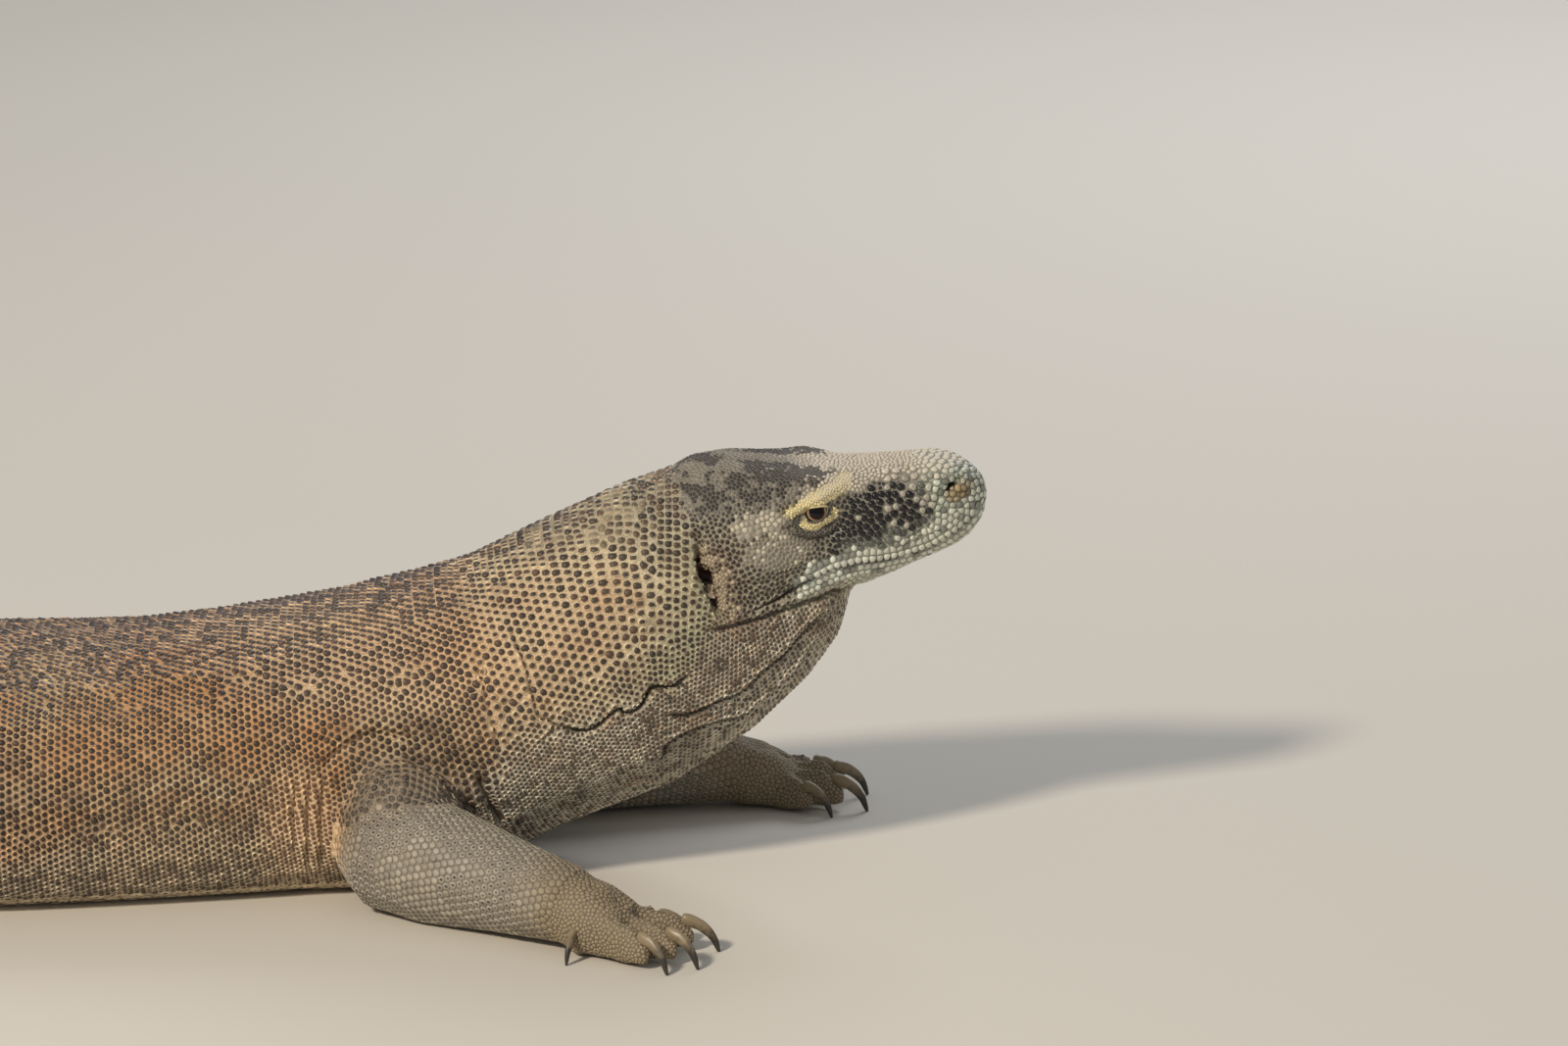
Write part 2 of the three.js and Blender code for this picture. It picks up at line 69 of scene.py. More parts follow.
HEAD_TURN = Euler((math.radians(7), math.radians(-14), math.radians(2)), "XYZ")
EYE_IN_HEAD = Vector((83, 0, 25.5)) * MM  # the point between the eyes, from the jaw joints
EYE_RADIUS = 11 * MM

CLOSE_GAP = 0.5 * MM  # the solids are grown by this, so that they meet across their cuts
VOXEL = 3 * MM
LOWEST_HIDE = 0.9 * MM  # the belly and soles keep this much room for their scales
COAT_DEPTH = 1.1 * MM  # the hide lies this far inside the solids
# How far each kind of flesh is smoothed, as the spread of the smoothing in mm.
SMOOTHING = {
    "body": 18,
    "tail": 14,
    "neck": 18,
    "head": 5.5,
    "leg": 11,
    "paw": 2.4,
    "toe": 1.3,
    "wrist": 10,
}
SLIVERS = 1.9  # mm, the smoothing that takes away what the dips between the toes leave
TOE_REACH = 30 * MM  # flesh this near the middle of a claw is toe
COARSE_VERTICES = 22000  # of the hide away from the head, feet and folds

SEED = 7
CELL_NEIGHBOURS = 11  # how many of its neighbours bound a scale
SUNK = 0.35  # mm, how far a scale's base lies in the hide
FILL = 0.95  # the share of its cell that a scale fills
FLOOR_GAP = 0.15 * MM  # between the floor and the lowest scale or claw
GAZE_UP = math.radians(20)  # how far above its head's level an eye looks
CLAW_FULLER = 0.45 * MM  # the claws are grown by this before they are rounded, which thins them

# What the grain of each surface measures. Keratin's own wrinkles are finer than would show, so
# they are drawn about three times as wide as they are.
KERATIN_GRAIN = 0.9 * MM
DUST_SPECKS = 4 * MM
SKIN_GRAINS = 1.1 * MM  # the granules of bare skin
MUD_SPOTS = 5 * MM
HORN_STREAKS = 1.2 * MM


def hex_colour(code):
    """An sRGB hex colour as the linear RGBA that a shader takes."""
    channels = [int(code[i : i + 2], 16) / 255 for i in (1, 3, 5)]
    linear = [c / 12.92 if c <= 0.04045 else ((c + 0.055) / 1.055) ** 2.4 for c in channels]
    return (*linear, 1.0)


# ---------------------------------------------------------------- camera, floor and light
CAMERA_FROM = Vector((0.269, -5.822, 1.6915))
CAMERA_TO = Vector((0.269, 0, 0.240))
LENS = 200.6  # mm
SENSOR = 36  # mm wide
LAMPS_TO = Vector((0.25, 0, 0.12))  # the foot of the neck


def add_camera():
    data = bpy.data.cameras.new("camera")
    data.lens = LENS
    data.sensor_width = SENSOR
    data.clip_end = 60
    camera = bpy.data.objects.new("camera", data)
    camera.location = CAMERA_FROM
    camera.rotation_euler = (CAMERA_TO - CAMERA_FROM).to_track_quat("-Z", "Y").to_euler()
    bpy.context.scene.collection.objects.link(camera)
    bpy.context.scene.camera = camera


def add_node(tree, kind, inputs=None, **settings):
    """Adds a node, sets its properties, and sets or links each input by its name or number."""
    node = tree.nodes.new(kind)
    for name, value in settings.items():
        setattr(node, name, value)
    for key, value in (inputs or {}).items():
        if isinstance(value, bpy.types.NodeSocket):
            tree.links.new(value, node.inputs[key])
        else:
            node.inputs[key].default_value = value
    return node


def add_floor():
    mesh = bpy.data.meshes.new("floor")
    bm = bmesh.new()
    bmesh.ops.create_grid(bm, x_segments=1, y_segments=1, size=30)
    bm.to_mesh(mesh)
    bm.free()
    floor = bpy.data.objects.new("floor", mesh)
    bpy.context.scene.collection.objects.link(floor)
    material = bpy.data.materials.new("painted studio floor")
    material.use_nodes = True
    shader = material.node_tree.nodes["Principled BSDF"]
    shader.inputs["Base Color"].default_value = hex_colour("#D8D2C6")
    shader.inputs["Roughness"].default_value = 0.9
    mesh.materials.append(material)


def add_lamp(name, place, size, watts, colour):
    data = bpy.data.lights.new(name, "AREA")
    data.shape = "DISK"
    data.size = size
    data.energy = watts
    data.color = hex_colour(colour)[:3]
    lamp = bpy.data.objects.new(name, data)
    lamp.location = place
    lamp.rotation_euler = (LAMPS_TO - Vector(place)).to_track_quat("-Z", "Y").to_euler()
    bpy.context.scene.collection.objects.link(lamp)


def add_light():
    world = bpy.data.worlds.new("studio")
    world.use_nodes = True
    background = world.node_tree.nodes["Background"]
    background.inputs["Color"].default_value = hex_colour("#EEF1F5")
    background.inputs["Strength"].default_value = 0.34
    bpy.context.scene.world = world
    add_lamp("key", (-2.6, -3.6, 3.4), 0.7, 232, "#FFF3E2")
    add_lamp("rim", (1.5, 3.2, 2.6), 2.0, 60, "#F1F5FF")
    bpy.context.scene.view_settings.view_transform = "Standard"


# ---------------------------------------------------------------- the head's own frame
def middle(name):
    low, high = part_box(name)
    return (low + high) / 2


HEAD_AXES = HEAD_TURN.to_matrix()
HEAD_ORIGIN = (middle("eye_right") + middle("eye_left")) / 2 - HEAD_AXES @ EYE_IN_HEAD


def from_nearest(points, names):
    """How far each point is from the middle of the nearest of some solids, in mm."""
    far = [np.linalg.norm(points - np.array(middle(name)), axis=1) for name in names]
    return np.min(far, 0) / MM


def into_head(points):
    """World points as head points in mm: x to the snout, y to the left, z up."""
    return (points - np.array(HEAD_ORIGIN)) @ np.array(HEAD_AXES) / MM


# ---------------------------------------------------------------- meshes and arrays
def new_object(name, mesh):
    made = bpy.data.objects.new(name, mesh)
    bpy.context.scene.collection.objects.link(made)
    return made


def vertex_array(mesh):
    flat = np.empty(len(mesh.vertices) * 3, np.float32)
    mesh.vertices.foreach_get("co", flat)
    return flat.reshape(-1, 3).astype(float)


def edge_array(mesh):
    flat = np.empty(len(mesh.edges) * 2, np.int32)
    mesh.edges.foreach_get("vertices", flat)
    return flat.reshape(-1, 2)


def normal_array(mesh):
    flat = np.empty(len(mesh.vertices) * 3, np.float32)
    mesh.vertex_normals.foreach_get("vector", flat)
    return flat.reshape(-1, 3).astype(float)


def set_vertices(mesh, points):
    mesh.vertices.foreach_set("co", points.astype(np.float32).ravel())
    mesh.update()


def smoothstep(value, low, high):
    t = np.clip((value - low) / (high - low), 0, 1)
    return t * t * (3 - 2 * t)


# ---------------------------------------------------------------- the hide
def node_bmesh(name):
    """A copy of a solid's mesh with its loose triangles joined."""
    bm = bmesh.new()
    bm.from_mesh(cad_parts[name].data)
    bmesh.ops.remove_doubles(bm, verts=bm.verts, dist=1e-5)
    bm.normal_update()
    return bm


class Regions:
    """Which solid each place on the hide belongs to."""

    def __init__(self, names):
        self.names = names
        points, faces, self.owner = [], [], []
        for index, name in enumerate(names):
            bm = node_bmesh(name)
            start = len(points)
            points += [v.co.copy() for v in bm.verts]
            faces += [[start + v.index for v in f.verts] for f in bm.faces]
            self.owner += [index] * len(bm.faces)
            bm.free()
        self.tree = BVHTree.FromPolygons(points, faces)

    def of(self, points):
        found = [self.owner[self.tree.find_nearest(Vector(p))[2]] for p in points]
        return np.array(found)

    def mask(self, owner, names):
        wanted = [self.names.index(n) for n in names]
        return np.isin(owner, wanted)


def remeshed_flesh():
    """The solids of flesh and the eyeballs, grown until they meet and made one closed skin."""
    whole = bmesh.new()
    for name in FLESH + EYES:
        part = node_bmesh(name)
        for vertex in part.verts:
            vertex.co += vertex.normal * CLOSE_GAP
        mesh = bpy.data.meshes.new("grown")
        part.to_mesh(mesh)
        part.free()
        whole.from_mesh(mesh)
        bpy.data.meshes.remove(mesh)
    mesh = bpy.data.meshes.new("flesh")
    whole.to_mesh(mesh)
    whole.free()
    flesh = new_object("flesh", mesh)
    remesh = flesh.modifiers.new("one skin", "REMESH")
    remesh.mode = "VOXEL"
    remesh.voxel_size = VOXEL
    graph = bpy.context.evaluated_depsgraph_get()
    made = bpy.data.meshes.new_from_object(flesh.evaluated_get(graph))
    bpy.data.objects.remove(flesh)
    bpy.data.meshes.remove(mesh)
    return made


def smoothed(points, edges, spread, spacing, back=1.02):
    """Smoothing that spreads as far as each vertex's own number says, for edges spacing mm long.

    Each step inwards is followed by one back out, which keeps the volume."""
    count = np.bincount(edges.ravel(), minlength=len(points))[:, None]
    widest = spread.max()
    step = 0.5
    rounds = int(2 * (widest / spacing) ** 2 / step)
    share = step * (spread / widest)[:, None] ** 2
    a, b = edges.T
    for _ in range(rounds):
        for factor in (1.0, -back):
            total = np.empty_like(points)
            for axis in range(3):
                total[:, axis] = np.bincount(a, points[b, axis], len(points))
                total[:, axis] += np.bincount(b, points[a, axis], len(points))
            points = points + factor * share * (total / count - points)
    return points


def spread_of(regions, owner, points):
    groups = [
        (TRUNK, "body"), (TAIL, "tail"), (NECK, "neck"), (HEAD + EYES, "head"),
        (UPPER_LEGS + LOWER_LEGS, "leg"), (PAWS, "paw"),
    ]
    spread = np.zeros(len(owner))
    for names, kind in groups:
        spread[regions.mask(owner, names)] = SMOOTHING[kind]
    spread[from_nearest(points, CLAWS) < TOE_REACH / MM] = SMOOTHING["toe"]
    return spread


def averaged(values, edges, rounds):
    """A value at each vertex, blurred over its neighbours."""
    a, b = edges.T
    count = np.bincount(edges.ravel(), minlength=len(values))
    for _ in range(rounds):
        total = np.bincount(a, values[b], len(values)) + np.bincount(b, values[a], len(values))
        values = 0.5 * values + 0.5 * total / count
    return values


# ---------------------------------------------------------------- folds, lids and slits
def curve_through(points, step):
    """Points every step or so along a smooth curve through a few."""
    points = np.array(points, float)
    ends = [2 * points[0] - points[1], *points, 2 * points[-1] - points[-2]]
    made = []
    for before, start, end, after in zip(ends, ends[1:], ends[2:], ends[3:]):
        count = max(2, int(np.linalg.norm(end - start) / step))
        for t in np.arange(count)[:, None] / count:
            made.append(
                0.5 * (2 * start + (end - before) * t
                + (2 * before - 5 * start + 4 * end - after) * t**2
                + (3 * start - before - 3 * end + after) * t**3)
            )
    return np.vstack([*made, points[-1:]])


def distance_to(line, points):
    """How far each point is from a line of close points, and which one is nearest."""
    far = np.full(len(points), 1e3)
    nearest = np.zeros(len(points), int)
    low, high = line.min(0) - 25, line.max(0) + 25
    close = np.where(((points > low) & (points < high)).all(1))[0]
    for some in np.array_split(close, max(1, len(close) // 4000)):
        gap = np.linalg.norm(points[some, None] - line[None], axis=2)
        nearest[some] = gap.argmin(1)
        far[some] = gap.min(1)
    return far, nearest


# Each fold is a crease in the hide and the soft roll of skin above it. Sizes in mm: depth and
# width of the crease, height of the roll. Points are on the right side, and the left mirrors it.
# Body folds are in the model's frame, as (x, y, z).
BODY_FOLDS = [
    # the sharp wavy fold that ends the coarse neck scales
    dict(depth=4.2, width=1.7, roll=1.8, line=[
        (116, -93, 120), (129, -90, 117), (140, -88, 118), (156, -85, 130), (162, -83, 127),
        (172, -81, 132), (180, -79, 144), (194, -76, 144), (206, -72, 153)]),
    # the long throat fold
    dict(depth=3.6, width=2.0, roll=1.6, line=[
        (189, -74, 123), (205, -68, 122), (225, -61, 129), (242, -54, 135), (256, -50, 147),
        (269, -44, 157), (282, -38, 171), (296, -31, 183)]),
    # the fold below it
    dict(depth=3.6, width=2.0, roll=1.8, line=[
        (175, -67, 87), (185, -62, 89), (190, -67, 100), (202, -64, 107), (220, -57, 112),
        (242, -45, 115), (259, -38, 126), (276, -32, 142), (291, -29, 162)]),
    # two short creases down the side of the neck, the first hooking round at its end
    dict(depth=2.2, width=1.3, roll=0.6, line=[
        (84, -80, 183), (94, -91, 161), (100, -96, 136), (104, -97, 127), (111, -94, 124),
        (112, -94, 118), (102, -96, 109)]),
    dict(depth=2.2, width=1.8, roll=0.8, line=[
        (60, -88, 165), (68, -99, 140), (73, -102, 120), (77, -101, 100)]),
    # round the shoulder, and the deep one before the arm
    dict(depth=2.4, width=3.0, roll=1.0, line=[
        (-44, -118, 96), (-36, -117, 107), (-17, -113, 119), (3, -111, 120), (22, -111, 115)]),
    dict(depth=5.5, width=3.2, roll=1.2, line=[
        (12, -114, 106), (31, -118, 96), (43, -118, 84), (53, -108, 70), (62, -102, 60)]),
    dict(depth=4.5, width=2.6, roll=1.0, line=[
        (61, -104, 90), (67, -102, 74), (73, -96, 60), (80, -88, 48)]),
    # wrinkles of the armpit, behind the arm
    dict(depth=2.2, width=1.8, roll=0.8, line=[(-62, -122, 92), (-63, -121, 67), (-64, -116, 38)]),
    dict(depth=2.4, width=1.8, roll=0.8, line=[(-52, -121, 95), (-54, -119, 60), (-56, -104, 20)]),
    dict(depth=2.6, width=1.8, roll=0.8, line=[(-43, -119, 92), (-45, -118, 60), (-46, -108, 24)]),
]
# Head folds are in the head's frame, as (x, z), and are laid on the side of the head.
HEAD_FOLDS = {
    "mouth": dict(depth=2.6, width=1.25, roll=0.5, line=[
        (197, -5), (191, -8), (179, -15), (169, -19), (152, -24), (134, -24), (117, -21),
        (101, -16.5), (84, -15), (69.5, -17), (55, -19.5), (40, -22), (17, -22.5)]),
    "jaw edge": dict(depth=4.0, width=2.4, roll=1.2, line=[
        (-8, -25), (8, -28), (30, -30), (50, -31), (70, -33), (90, -37), (104, -43)]),
    "lid pouch": dict(depth=1.7, width=1.3, roll=0.7, line=[
        (61, 27), (65, 19.5), (72, 14), (80, 11.2), (90, 10.7), (96, 15)]),
    "nostril": dict(depth=7.0, width=2.1, roll=1.0, line=[(172, 14.6), (177, 17.4), (183, 19.6)]),
    "nostril fold": dict(depth=0.9, width=1.0, roll=0.3, line=[(170, 7), (180, 5.7), (187, 9)]),
    "ear crease": dict(depth=2.4, width=1.7, roll=1.2, line=[
        (2, 47), (0, 30), (-2, 18), (-1.4, 0), (1, -16), (9, -24)]),
    "ear": dict(depth=9.0, width=2.6, roll=0.8, line=[
        (-3, 26), (-1.8, 14), (0.4, 2), (2.6, -10), (4, -16)]),
}
# The dip between the bones of two toes in mm, how far back it runs and where on the paw it begins.
TOE_VALLEY = dict(depth=2.4, width=4.2, roll=0.0)
VALLEY_LENGTH = 62 * MM
KNUCKLE_HEIGHT = 33
OVER_PAWS = 200 * MM  # a height that clears every paw
# The ridge that hangs over the eye, from its back corner forwards: (x, z), and how far it stands out.
LID_RIDGE = dict(line=[(65, 33.5), (75, 34.6), (86, 37), (97, 39), (104, 39)], width=3.0, rise=2.6)
# The opening between the lids, in the head's frame: its corners, and how far it bows up and down.
EYE_OPENING = dict(back=70.5, front=91.0, level=29.3, up=3.4, down=6.9)
LID_THICKNESS = 1.3
LID_ROLL = 0.75 * MM  # the radius of the moist roll along a lid's edge
LIDS_REACH = 18  # the lids are parted within this of the middle of the eyeball
SKIN_BEHIND = 0.72  # in the opening the hide lies behind the cornea, at this share of its radius


def opening_edges(x):
    """The upper and lower edge of the eye's opening above x, and whether x is between its corners."""
    share = (x - EYE_OPENING["back"]) / (EYE_OPENING["front"] - EYE_OPENING["back"])
    bow = np.clip(4 * share * (1 - share), 0, 1) ** 0.55
    upper = EYE_OPENING["level"] + EYE_OPENING["up"] * bow
    lower = EYE_OPENING["level"] - EYE_OPENING["down"] * bow
    return upper, lower, (share > 0) & (share < 1)


def right_side(points):
    """Points with the left side folded onto the right."""
    return np.column_stack([points[:, 0], -np.abs(points[:, 1]), points[:, 2]])


def side_line(tree, line):
    """A side-view line of the head laid on its right side, as points of the head's frame in mm."""
    made = []
    for x, z in curve_through(line, 0.8):
        start = HEAD_ORIGIN + HEAD_AXES @ (Vector((x, -90, z)) * MM)
        hit = tree.ray_cast(start, HEAD_AXES @ Vector((0, 1, 0)))[0]
        if hit is not None:
            made.append(into_head(np.array([hit]))[0])
    return np.array(made)


def body_line(tree, line):
    """A fold of the body laid on the hide, as points of the model's frame in mm."""
    points = curve_through(line, 1.0) * MM
    return np.array([np.array(tree.find_nearest(Vector(p))[0]) / MM for p in points])


def lay_folds(tree):
    """Every fold as (settings, its line), for the body, the head and the toes."""
    body = [(fold, body_line(tree, fold["line"])) for fold in BODY_FOLDS]
    face = [(fold, side_line(tree, fold["line"])) for fold in HEAD_FOLDS.values()]
    return body, face, toe_valleys(tree)


def toe_valleys(tree):
    """The dips between the toes' bones, from between two claws' roots back along the paw."""
    made = []
    for paw in PAWS:
        heart = middle(paw)
        roots = []
        for i in range(1, 6):
            co = vertex_array(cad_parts[f"claw_{paw}_{i}"].data)
            roots.append(co[np.linalg.norm(co - np.array(heart), axis=1).argmin()])
        for first, second in zip(roots[:3], roots[1:4]):
            start = (first + second) / 2
            back = np.array(heart) - start
            back *= VALLEY_LENGTH / np.linalg.norm(back)
            line = []
            for share in np.arange(0.2, 1, 0.015):
                place = start + back * share
                above = Vector((place[0], place[1], OVER_PAWS))
                hit = tree.ray_cast(above, Vector((0, 0, -1)), OVER_PAWS)[0]
                if hit is not None and hit.z > KNUCKLE_HEIGHT * MM:
                    line.append(np.array(hit) / MM)
            if len(line) > 4:
                made.append((TOE_VALLEY, np.array(line)))
    return made


def fold_push(at, folds):
    """How far the folds push the hide out at each place, in mm, and how deep in a crease it is."""
    push = np.zeros(len(at))
    groove = np.zeros(len(at))
    for fold, line in folds:
        far, nearest = distance_to(line, at)
        width = fold["width"]
        # a crease runs out gently at both its ends
        place = nearest / (len(line) - 1)
        fade = np.clip(np.minimum(place, 1 - place) * 7 + 0.25, 0, 1)
        crease = np.exp(-((far / width) ** 2)) * fade
        above = smoothstep(at[:, 2] - line[nearest, 2], -0.5 * width, width)
        roll = np.exp(-(((far - 2.6 * width) / (1.5 * width)) ** 2)) * fade * above
        push += fold["roll"] * roll - fold["depth"] * crease
        # only sharp creases count in the groove, which the hide's painted shade and its bare places go
        # by
        groove = np.maximum(groove, crease * smoothstep(fold["depth"] / width, 1.4, 1.9))
    return push, groove


def ridge_push(at, line):
    """The ridge over the eye, in mm outwards."""
    far, _ = distance_to(line, at)
    return LID_RIDGE["rise"] * np.exp(-((far / LID_RIDGE["width"]) ** 2))


def open_eyes(points):
    """Parts the lids: the hide clears each eyeball round the opening, and lies inside it within."""
    at = into_head(points)
    for side in (-1, 1):
        centre = into_head(np.array([middle("eye_right" if side < 0 else "eye_left")]))[0]
        gap = at - centre
        far = np.linalg.norm(gap, axis=1)
        upper, lower, between = opening_edges(at[:, 0])
        front = side * gap[:, 1] > 0
        near = front & (far < LIDS_REACH)
        inside = near & between & (at[:, 2] < upper) & (at[:, 2] > lower)
        lid = EYE_RADIUS / MM + LID_THICKNESS
        reach = np.where(inside, SKIN_BEHIND * EYE_RADIUS / MM, np.maximum(far, lid))
        moved = centre + gap * (reach / np.maximum(far, 1e-6))[:, None]
        at[near] = moved[near]
    return np.array(HEAD_ORIGIN) + at * MM @ np.array(HEAD_AXES).T


# ---------------------------------------------------------------- the hide, put together
def thinned(mesh, coarse, share):
    """The mesh with fewer faces where coarse is 1, through Decimate and a vertex group."""
    made = new_object("thinned", mesh)
    group = made.vertex_groups.new(name="coarse")
    for index in np.where(coarse > 0.5)[0]:
        group.add([int(index)], 1.0, "REPLACE")
    thin = made.modifiers.new("fewer faces", "DECIMATE")
    thin.ratio = share
    thin.vertex_group = group.name
    graph = bpy.context.evaluated_depsgraph_get()
    result = bpy.data.meshes.new_from_object(made.evaluated_get(graph))
    bpy.data.objects.remove(made)
    return result


def refine(mesh, wanted):
    """Halves every edge whose two ends are wanted."""
    bm = bmesh.new()
    bm.from_mesh(mesh)
    bm.verts.ensure_lookup_table()
    for vertex, chosen in zip(bm.verts, wanted):
        vertex.tag = bool(chosen)
    edges = [e for e in bm.edges if e.verts[0].tag and e.verts[1].tag]
    bmesh.ops.subdivide_edges(bm, edges=edges, cuts=1, use_grid_fill=True, smooth=0.0)
    bmesh.ops.triangulate(bm, faces=[f for f in bm.faces if len(f.verts) > 4])
    bm.to_mesh(mesh)
    bm.free()


def near_folds(points, folds, reach):
    """Which points lie within reach of a fold, in mm."""
    near = np.zeros(len(points), bool)
    for at, lines in zip(fold_frames(points), folds):
        for _, line in lines:
            near |= distance_to(line, at)[0] < reach
    return near


def fold_frames(points):
    """Points as the three kinds of fold see them: body, face and toes."""
    return right_side(points / MM), right_side(into_head(points)), points / MM


def near_eyes(points, reach):
    """Which points lie within reach of the middle of an eyeball, in mm."""
    return from_nearest(points, EYES) < reach


def soften(mesh, regions):
    """Smooths the remeshed flesh, most on the body and least on the toes."""
    points = vertex_array(mesh)
    edges = edge_array(mesh)
    owner = regions.of(points)
    spread = averaged(spread_of(regions, owner, points), edges, 6)
    legs, paws = (
        averaged(regions.mask(owner, names) * 1.0, edges, 60) for names in (LOWER_LEGS, PAWS)
    )
    spread = np.maximum(spread, SMOOTHING["wrist"] * np.clip(6 * legs * paws, 0, 1))
    points = smoothed(points, edges, spread, VOXEL / MM)
    set_vertices(mesh, points)
    return points, owner


def graded(mesh, points, regions, owner, folds):
    """The hide with fewer faces where it is plain, and smaller ones at the folds and eyes."""
    fine = regions.mask(owner, HEAD + EYES + PAWS) | near_folds(points, folds, 8)
    share = (fine.sum() + COARSE_VERTICES) / len(fine)
    mesh = thinned(mesh, averaged(~fine * 1.0, edge_array(mesh), 3), share)
    for reach in (6, 3):
        points = vertex_array(mesh)
        refine(mesh, near_folds(points, folds, reach) | near_eyes(points, 15 + reach))
    points = vertex_array(mesh)
    in_features = near_folds(points, folds, 8) | near_eyes(points, 24)
    points = smoothed(points, edge_array(mesh), in_features * 0.8 + 0.01, 1.0)
    set_vertices(mesh, points)
    return mesh, points


def press_folds(mesh, points, regions, folds, ridge):
    """Sets the hide in by the coat's depth, folds it and parts the lids.

    What it gives back is how deep in a crease each vertex is, from 0 to 1."""
    pushed = [fold_push(at, lines) for at, lines in zip(fold_frames(points), folds)]
    push = pushed[0][0] + pushed[1][0] - COAT_DEPTH / MM
    push += ridge_push(right_side(into_head(points)), ridge)
    points = points + normal_array(mesh) * push[:, None] * MM
    points[:, 2] += pushed[2][0] * MM  # straight down, for the toes stand too close to push inwards
    # no step back on the paws, so that slivers between the toes shrink away
    edges = edge_array(mesh)
    paws = averaged(regions.mask(regions.of(points), PAWS) * 1.0, edges, 3)
    points = smoothed(points, edges, paws * SLIVERS + 0.01, 1.0, back=0.0)
    points = open_eyes(points)
    points[:, 2] = np.maximum(points[:, 2], LOWEST_HIDE)
    set_vertices(mesh, points)
    triangulate(mesh)
    return np.max([groove for _, groove in pushed], axis=0)


def build_hide():
    """The finished hide, the regions that it belongs to and its grooves."""
    regions = Regions(FLESH + EYES)
    mesh = remeshed_flesh()
    points, owner = soften(mesh, regions)
    tree = triangle_tree(mesh)
    folds = lay_folds(tree)
    ridge = side_line(tree, LID_RIDGE["line"])
    mesh, points = graded(mesh, points, regions, owner, folds)
    return mesh, regions, press_folds(mesh, points, regions, folds, ridge)


def triangulate(mesh):
    bm = bmesh.new()
    bm.from_mesh(mesh)
    bmesh.ops.triangulate(bm, faces=bm.faces)
    bm.to_mesh(mesh)
    bm.free()
    mesh.update()


def triangle_tree(mesh):
    mesh.calc_loop_triangles()
    corners = triangle_array(mesh)
    return BVHTree.FromPolygons(vertex_array(mesh).tolist(), corners.tolist(), all_triangles=True)


def triangle_array(mesh):
    mesh.calc_loop_triangles()
    flat = np.empty(len(mesh.loop_triangles) * 3, np.int32)
    mesh.loop_triangles.foreach_get("vertices", flat)
    return flat.reshape(-1, 3)


# ---------------------------------------------------------------- where the scales grow
class Hide:
    """The finished hide as arrays, for placing scales on it."""

    def __init__(self, mesh, regions, groove):
        self.points = vertex_array(mesh)
        self.normals = normal_array(mesh)
        self.triangles = triangle_array(mesh)
        self.tree = BVHTree.FromPolygons(
            self.points.tolist(), self.triangles.tolist(), all_triangles=True
        )
        self.regions = regions
        self.groove = groove
        centres = self.points[self.triangles].mean(1)
        self.owner = regions.of(centres)

    def nearest(self, points):
        """The closest places on the hide, and the triangle that each is on."""
        found = [self.tree.find_nearest(p) for p in points.tolist()]
        return np.array([f[0] for f in found]), np.array([f[2] for f in found])

    def normal_at(self, points, faces):
        """The hide's smooth normal at points on the given triangles."""
        a, b, c = (self.points[self.triangles[faces, k]] for k in range(3))
        area = np.cross(b - a, c - a)
        size = np.maximum((area**2).sum(1), 1e-20)
        wb = (np.cross(points - a, c - a) * area).sum(1) / size
        wc = (np.cross(b - a, points - a) * area).sum(1) / size
        weights = np.clip(np.column_stack([1 - wb - wc, wb, wc]), 0, 1)
        normal = (self.normals[self.triangles[faces]] * weights[:, :, None]).sum(1)
        return normal / np.linalg.norm(normal, axis=1, keepdims=True)

    def scattered(self, per_area, rng):
        """Random places, as many for each triangle as its area and per_area (1/mm2) ask for."""
        a, b, c = (self.points[self.triangles[:, k]] for k in range(3))
        area = np.linalg.norm(np.cross(b - a, c - a), axis=1) / 2 / MM**2
        faces = np.repeat(np.arange(len(area)), rng.poisson(area * per_area))
        u, v = rng.random((2, len(faces)))
        over = u + v > 1
        u[over], v[over] = 1 - u[over], 1 - v[over]
        a, b, c = a[faces], b[faces], c[faces]
        return a + (b - a) * u[:, None] + (c - a) * v[:, None], faces


ROW_SHARE = 0.866  # from row to row, as a share of the gap from scale to scale
LONGEST_STEP = 60 * MM  # a ring with a longer gap in it has crossed from one part to another


def body_axis(hide):
    """The middle line of the neck, trunk and tail, from the nape back, every 20 mm."""
    names = NECK + TRUNK + TAIL
    mine = hide.points[hide.triangles[hide.regions.mask(hide.owner, names)]].mean(1)
    step = 20 * MM
    line = []
    for x in np.arange(mine[:, 0].max() - step, mine[:, 0].min(), -step):
        ring = mine[np.abs(mine[:, 0] - x) < step / 2]
        if len(ring) > 6:
            line.append([x, *((ring[:, 1:].min(0) + ring[:, 1:].max(0)) / 2)])
    line = np.array(line)
    for _ in range(6):
        line[1:-1] = (line[:-2] + 2 * line[1:-1] + line[2:]) / 4
    return line


def node_axis(name):
    """The line from end to end of a long solid, along its length."""
    co = vertex_array(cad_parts[name].data)
    centre = co.mean(0)
    along = np.linalg.svd(co - centre, full_matrices=False)[2][0]
    reach = (co - centre) @ along
    return np.array([centre + along * reach.min(), centre + along * reach.max()])


def half_ring(hide, start, forward, turn, allowed):
    """The hide's outline from the upper midline down one side, each point with 1 if it counts."""
    up = np.array([0, 0, 1.0]) - forward[2] * forward
    up /= np.linalg.norm(up)
    side = np.cross(forward, up)
    ring = []
    for angle in np.radians(np.arange(0, 181, 2.5)):
        ray = up * math.cos(angle) + side * turn * math.sin(angle)
        hit, _, face, _ = hide.tree.ray_cast(start.tolist(), ray.tolist())
        good = hit is not None and hide.owner[face] in allowed
        ring.append((*hit, 1.0) if good else (0, 0, 0, 0.0))
    return np.array(ring)


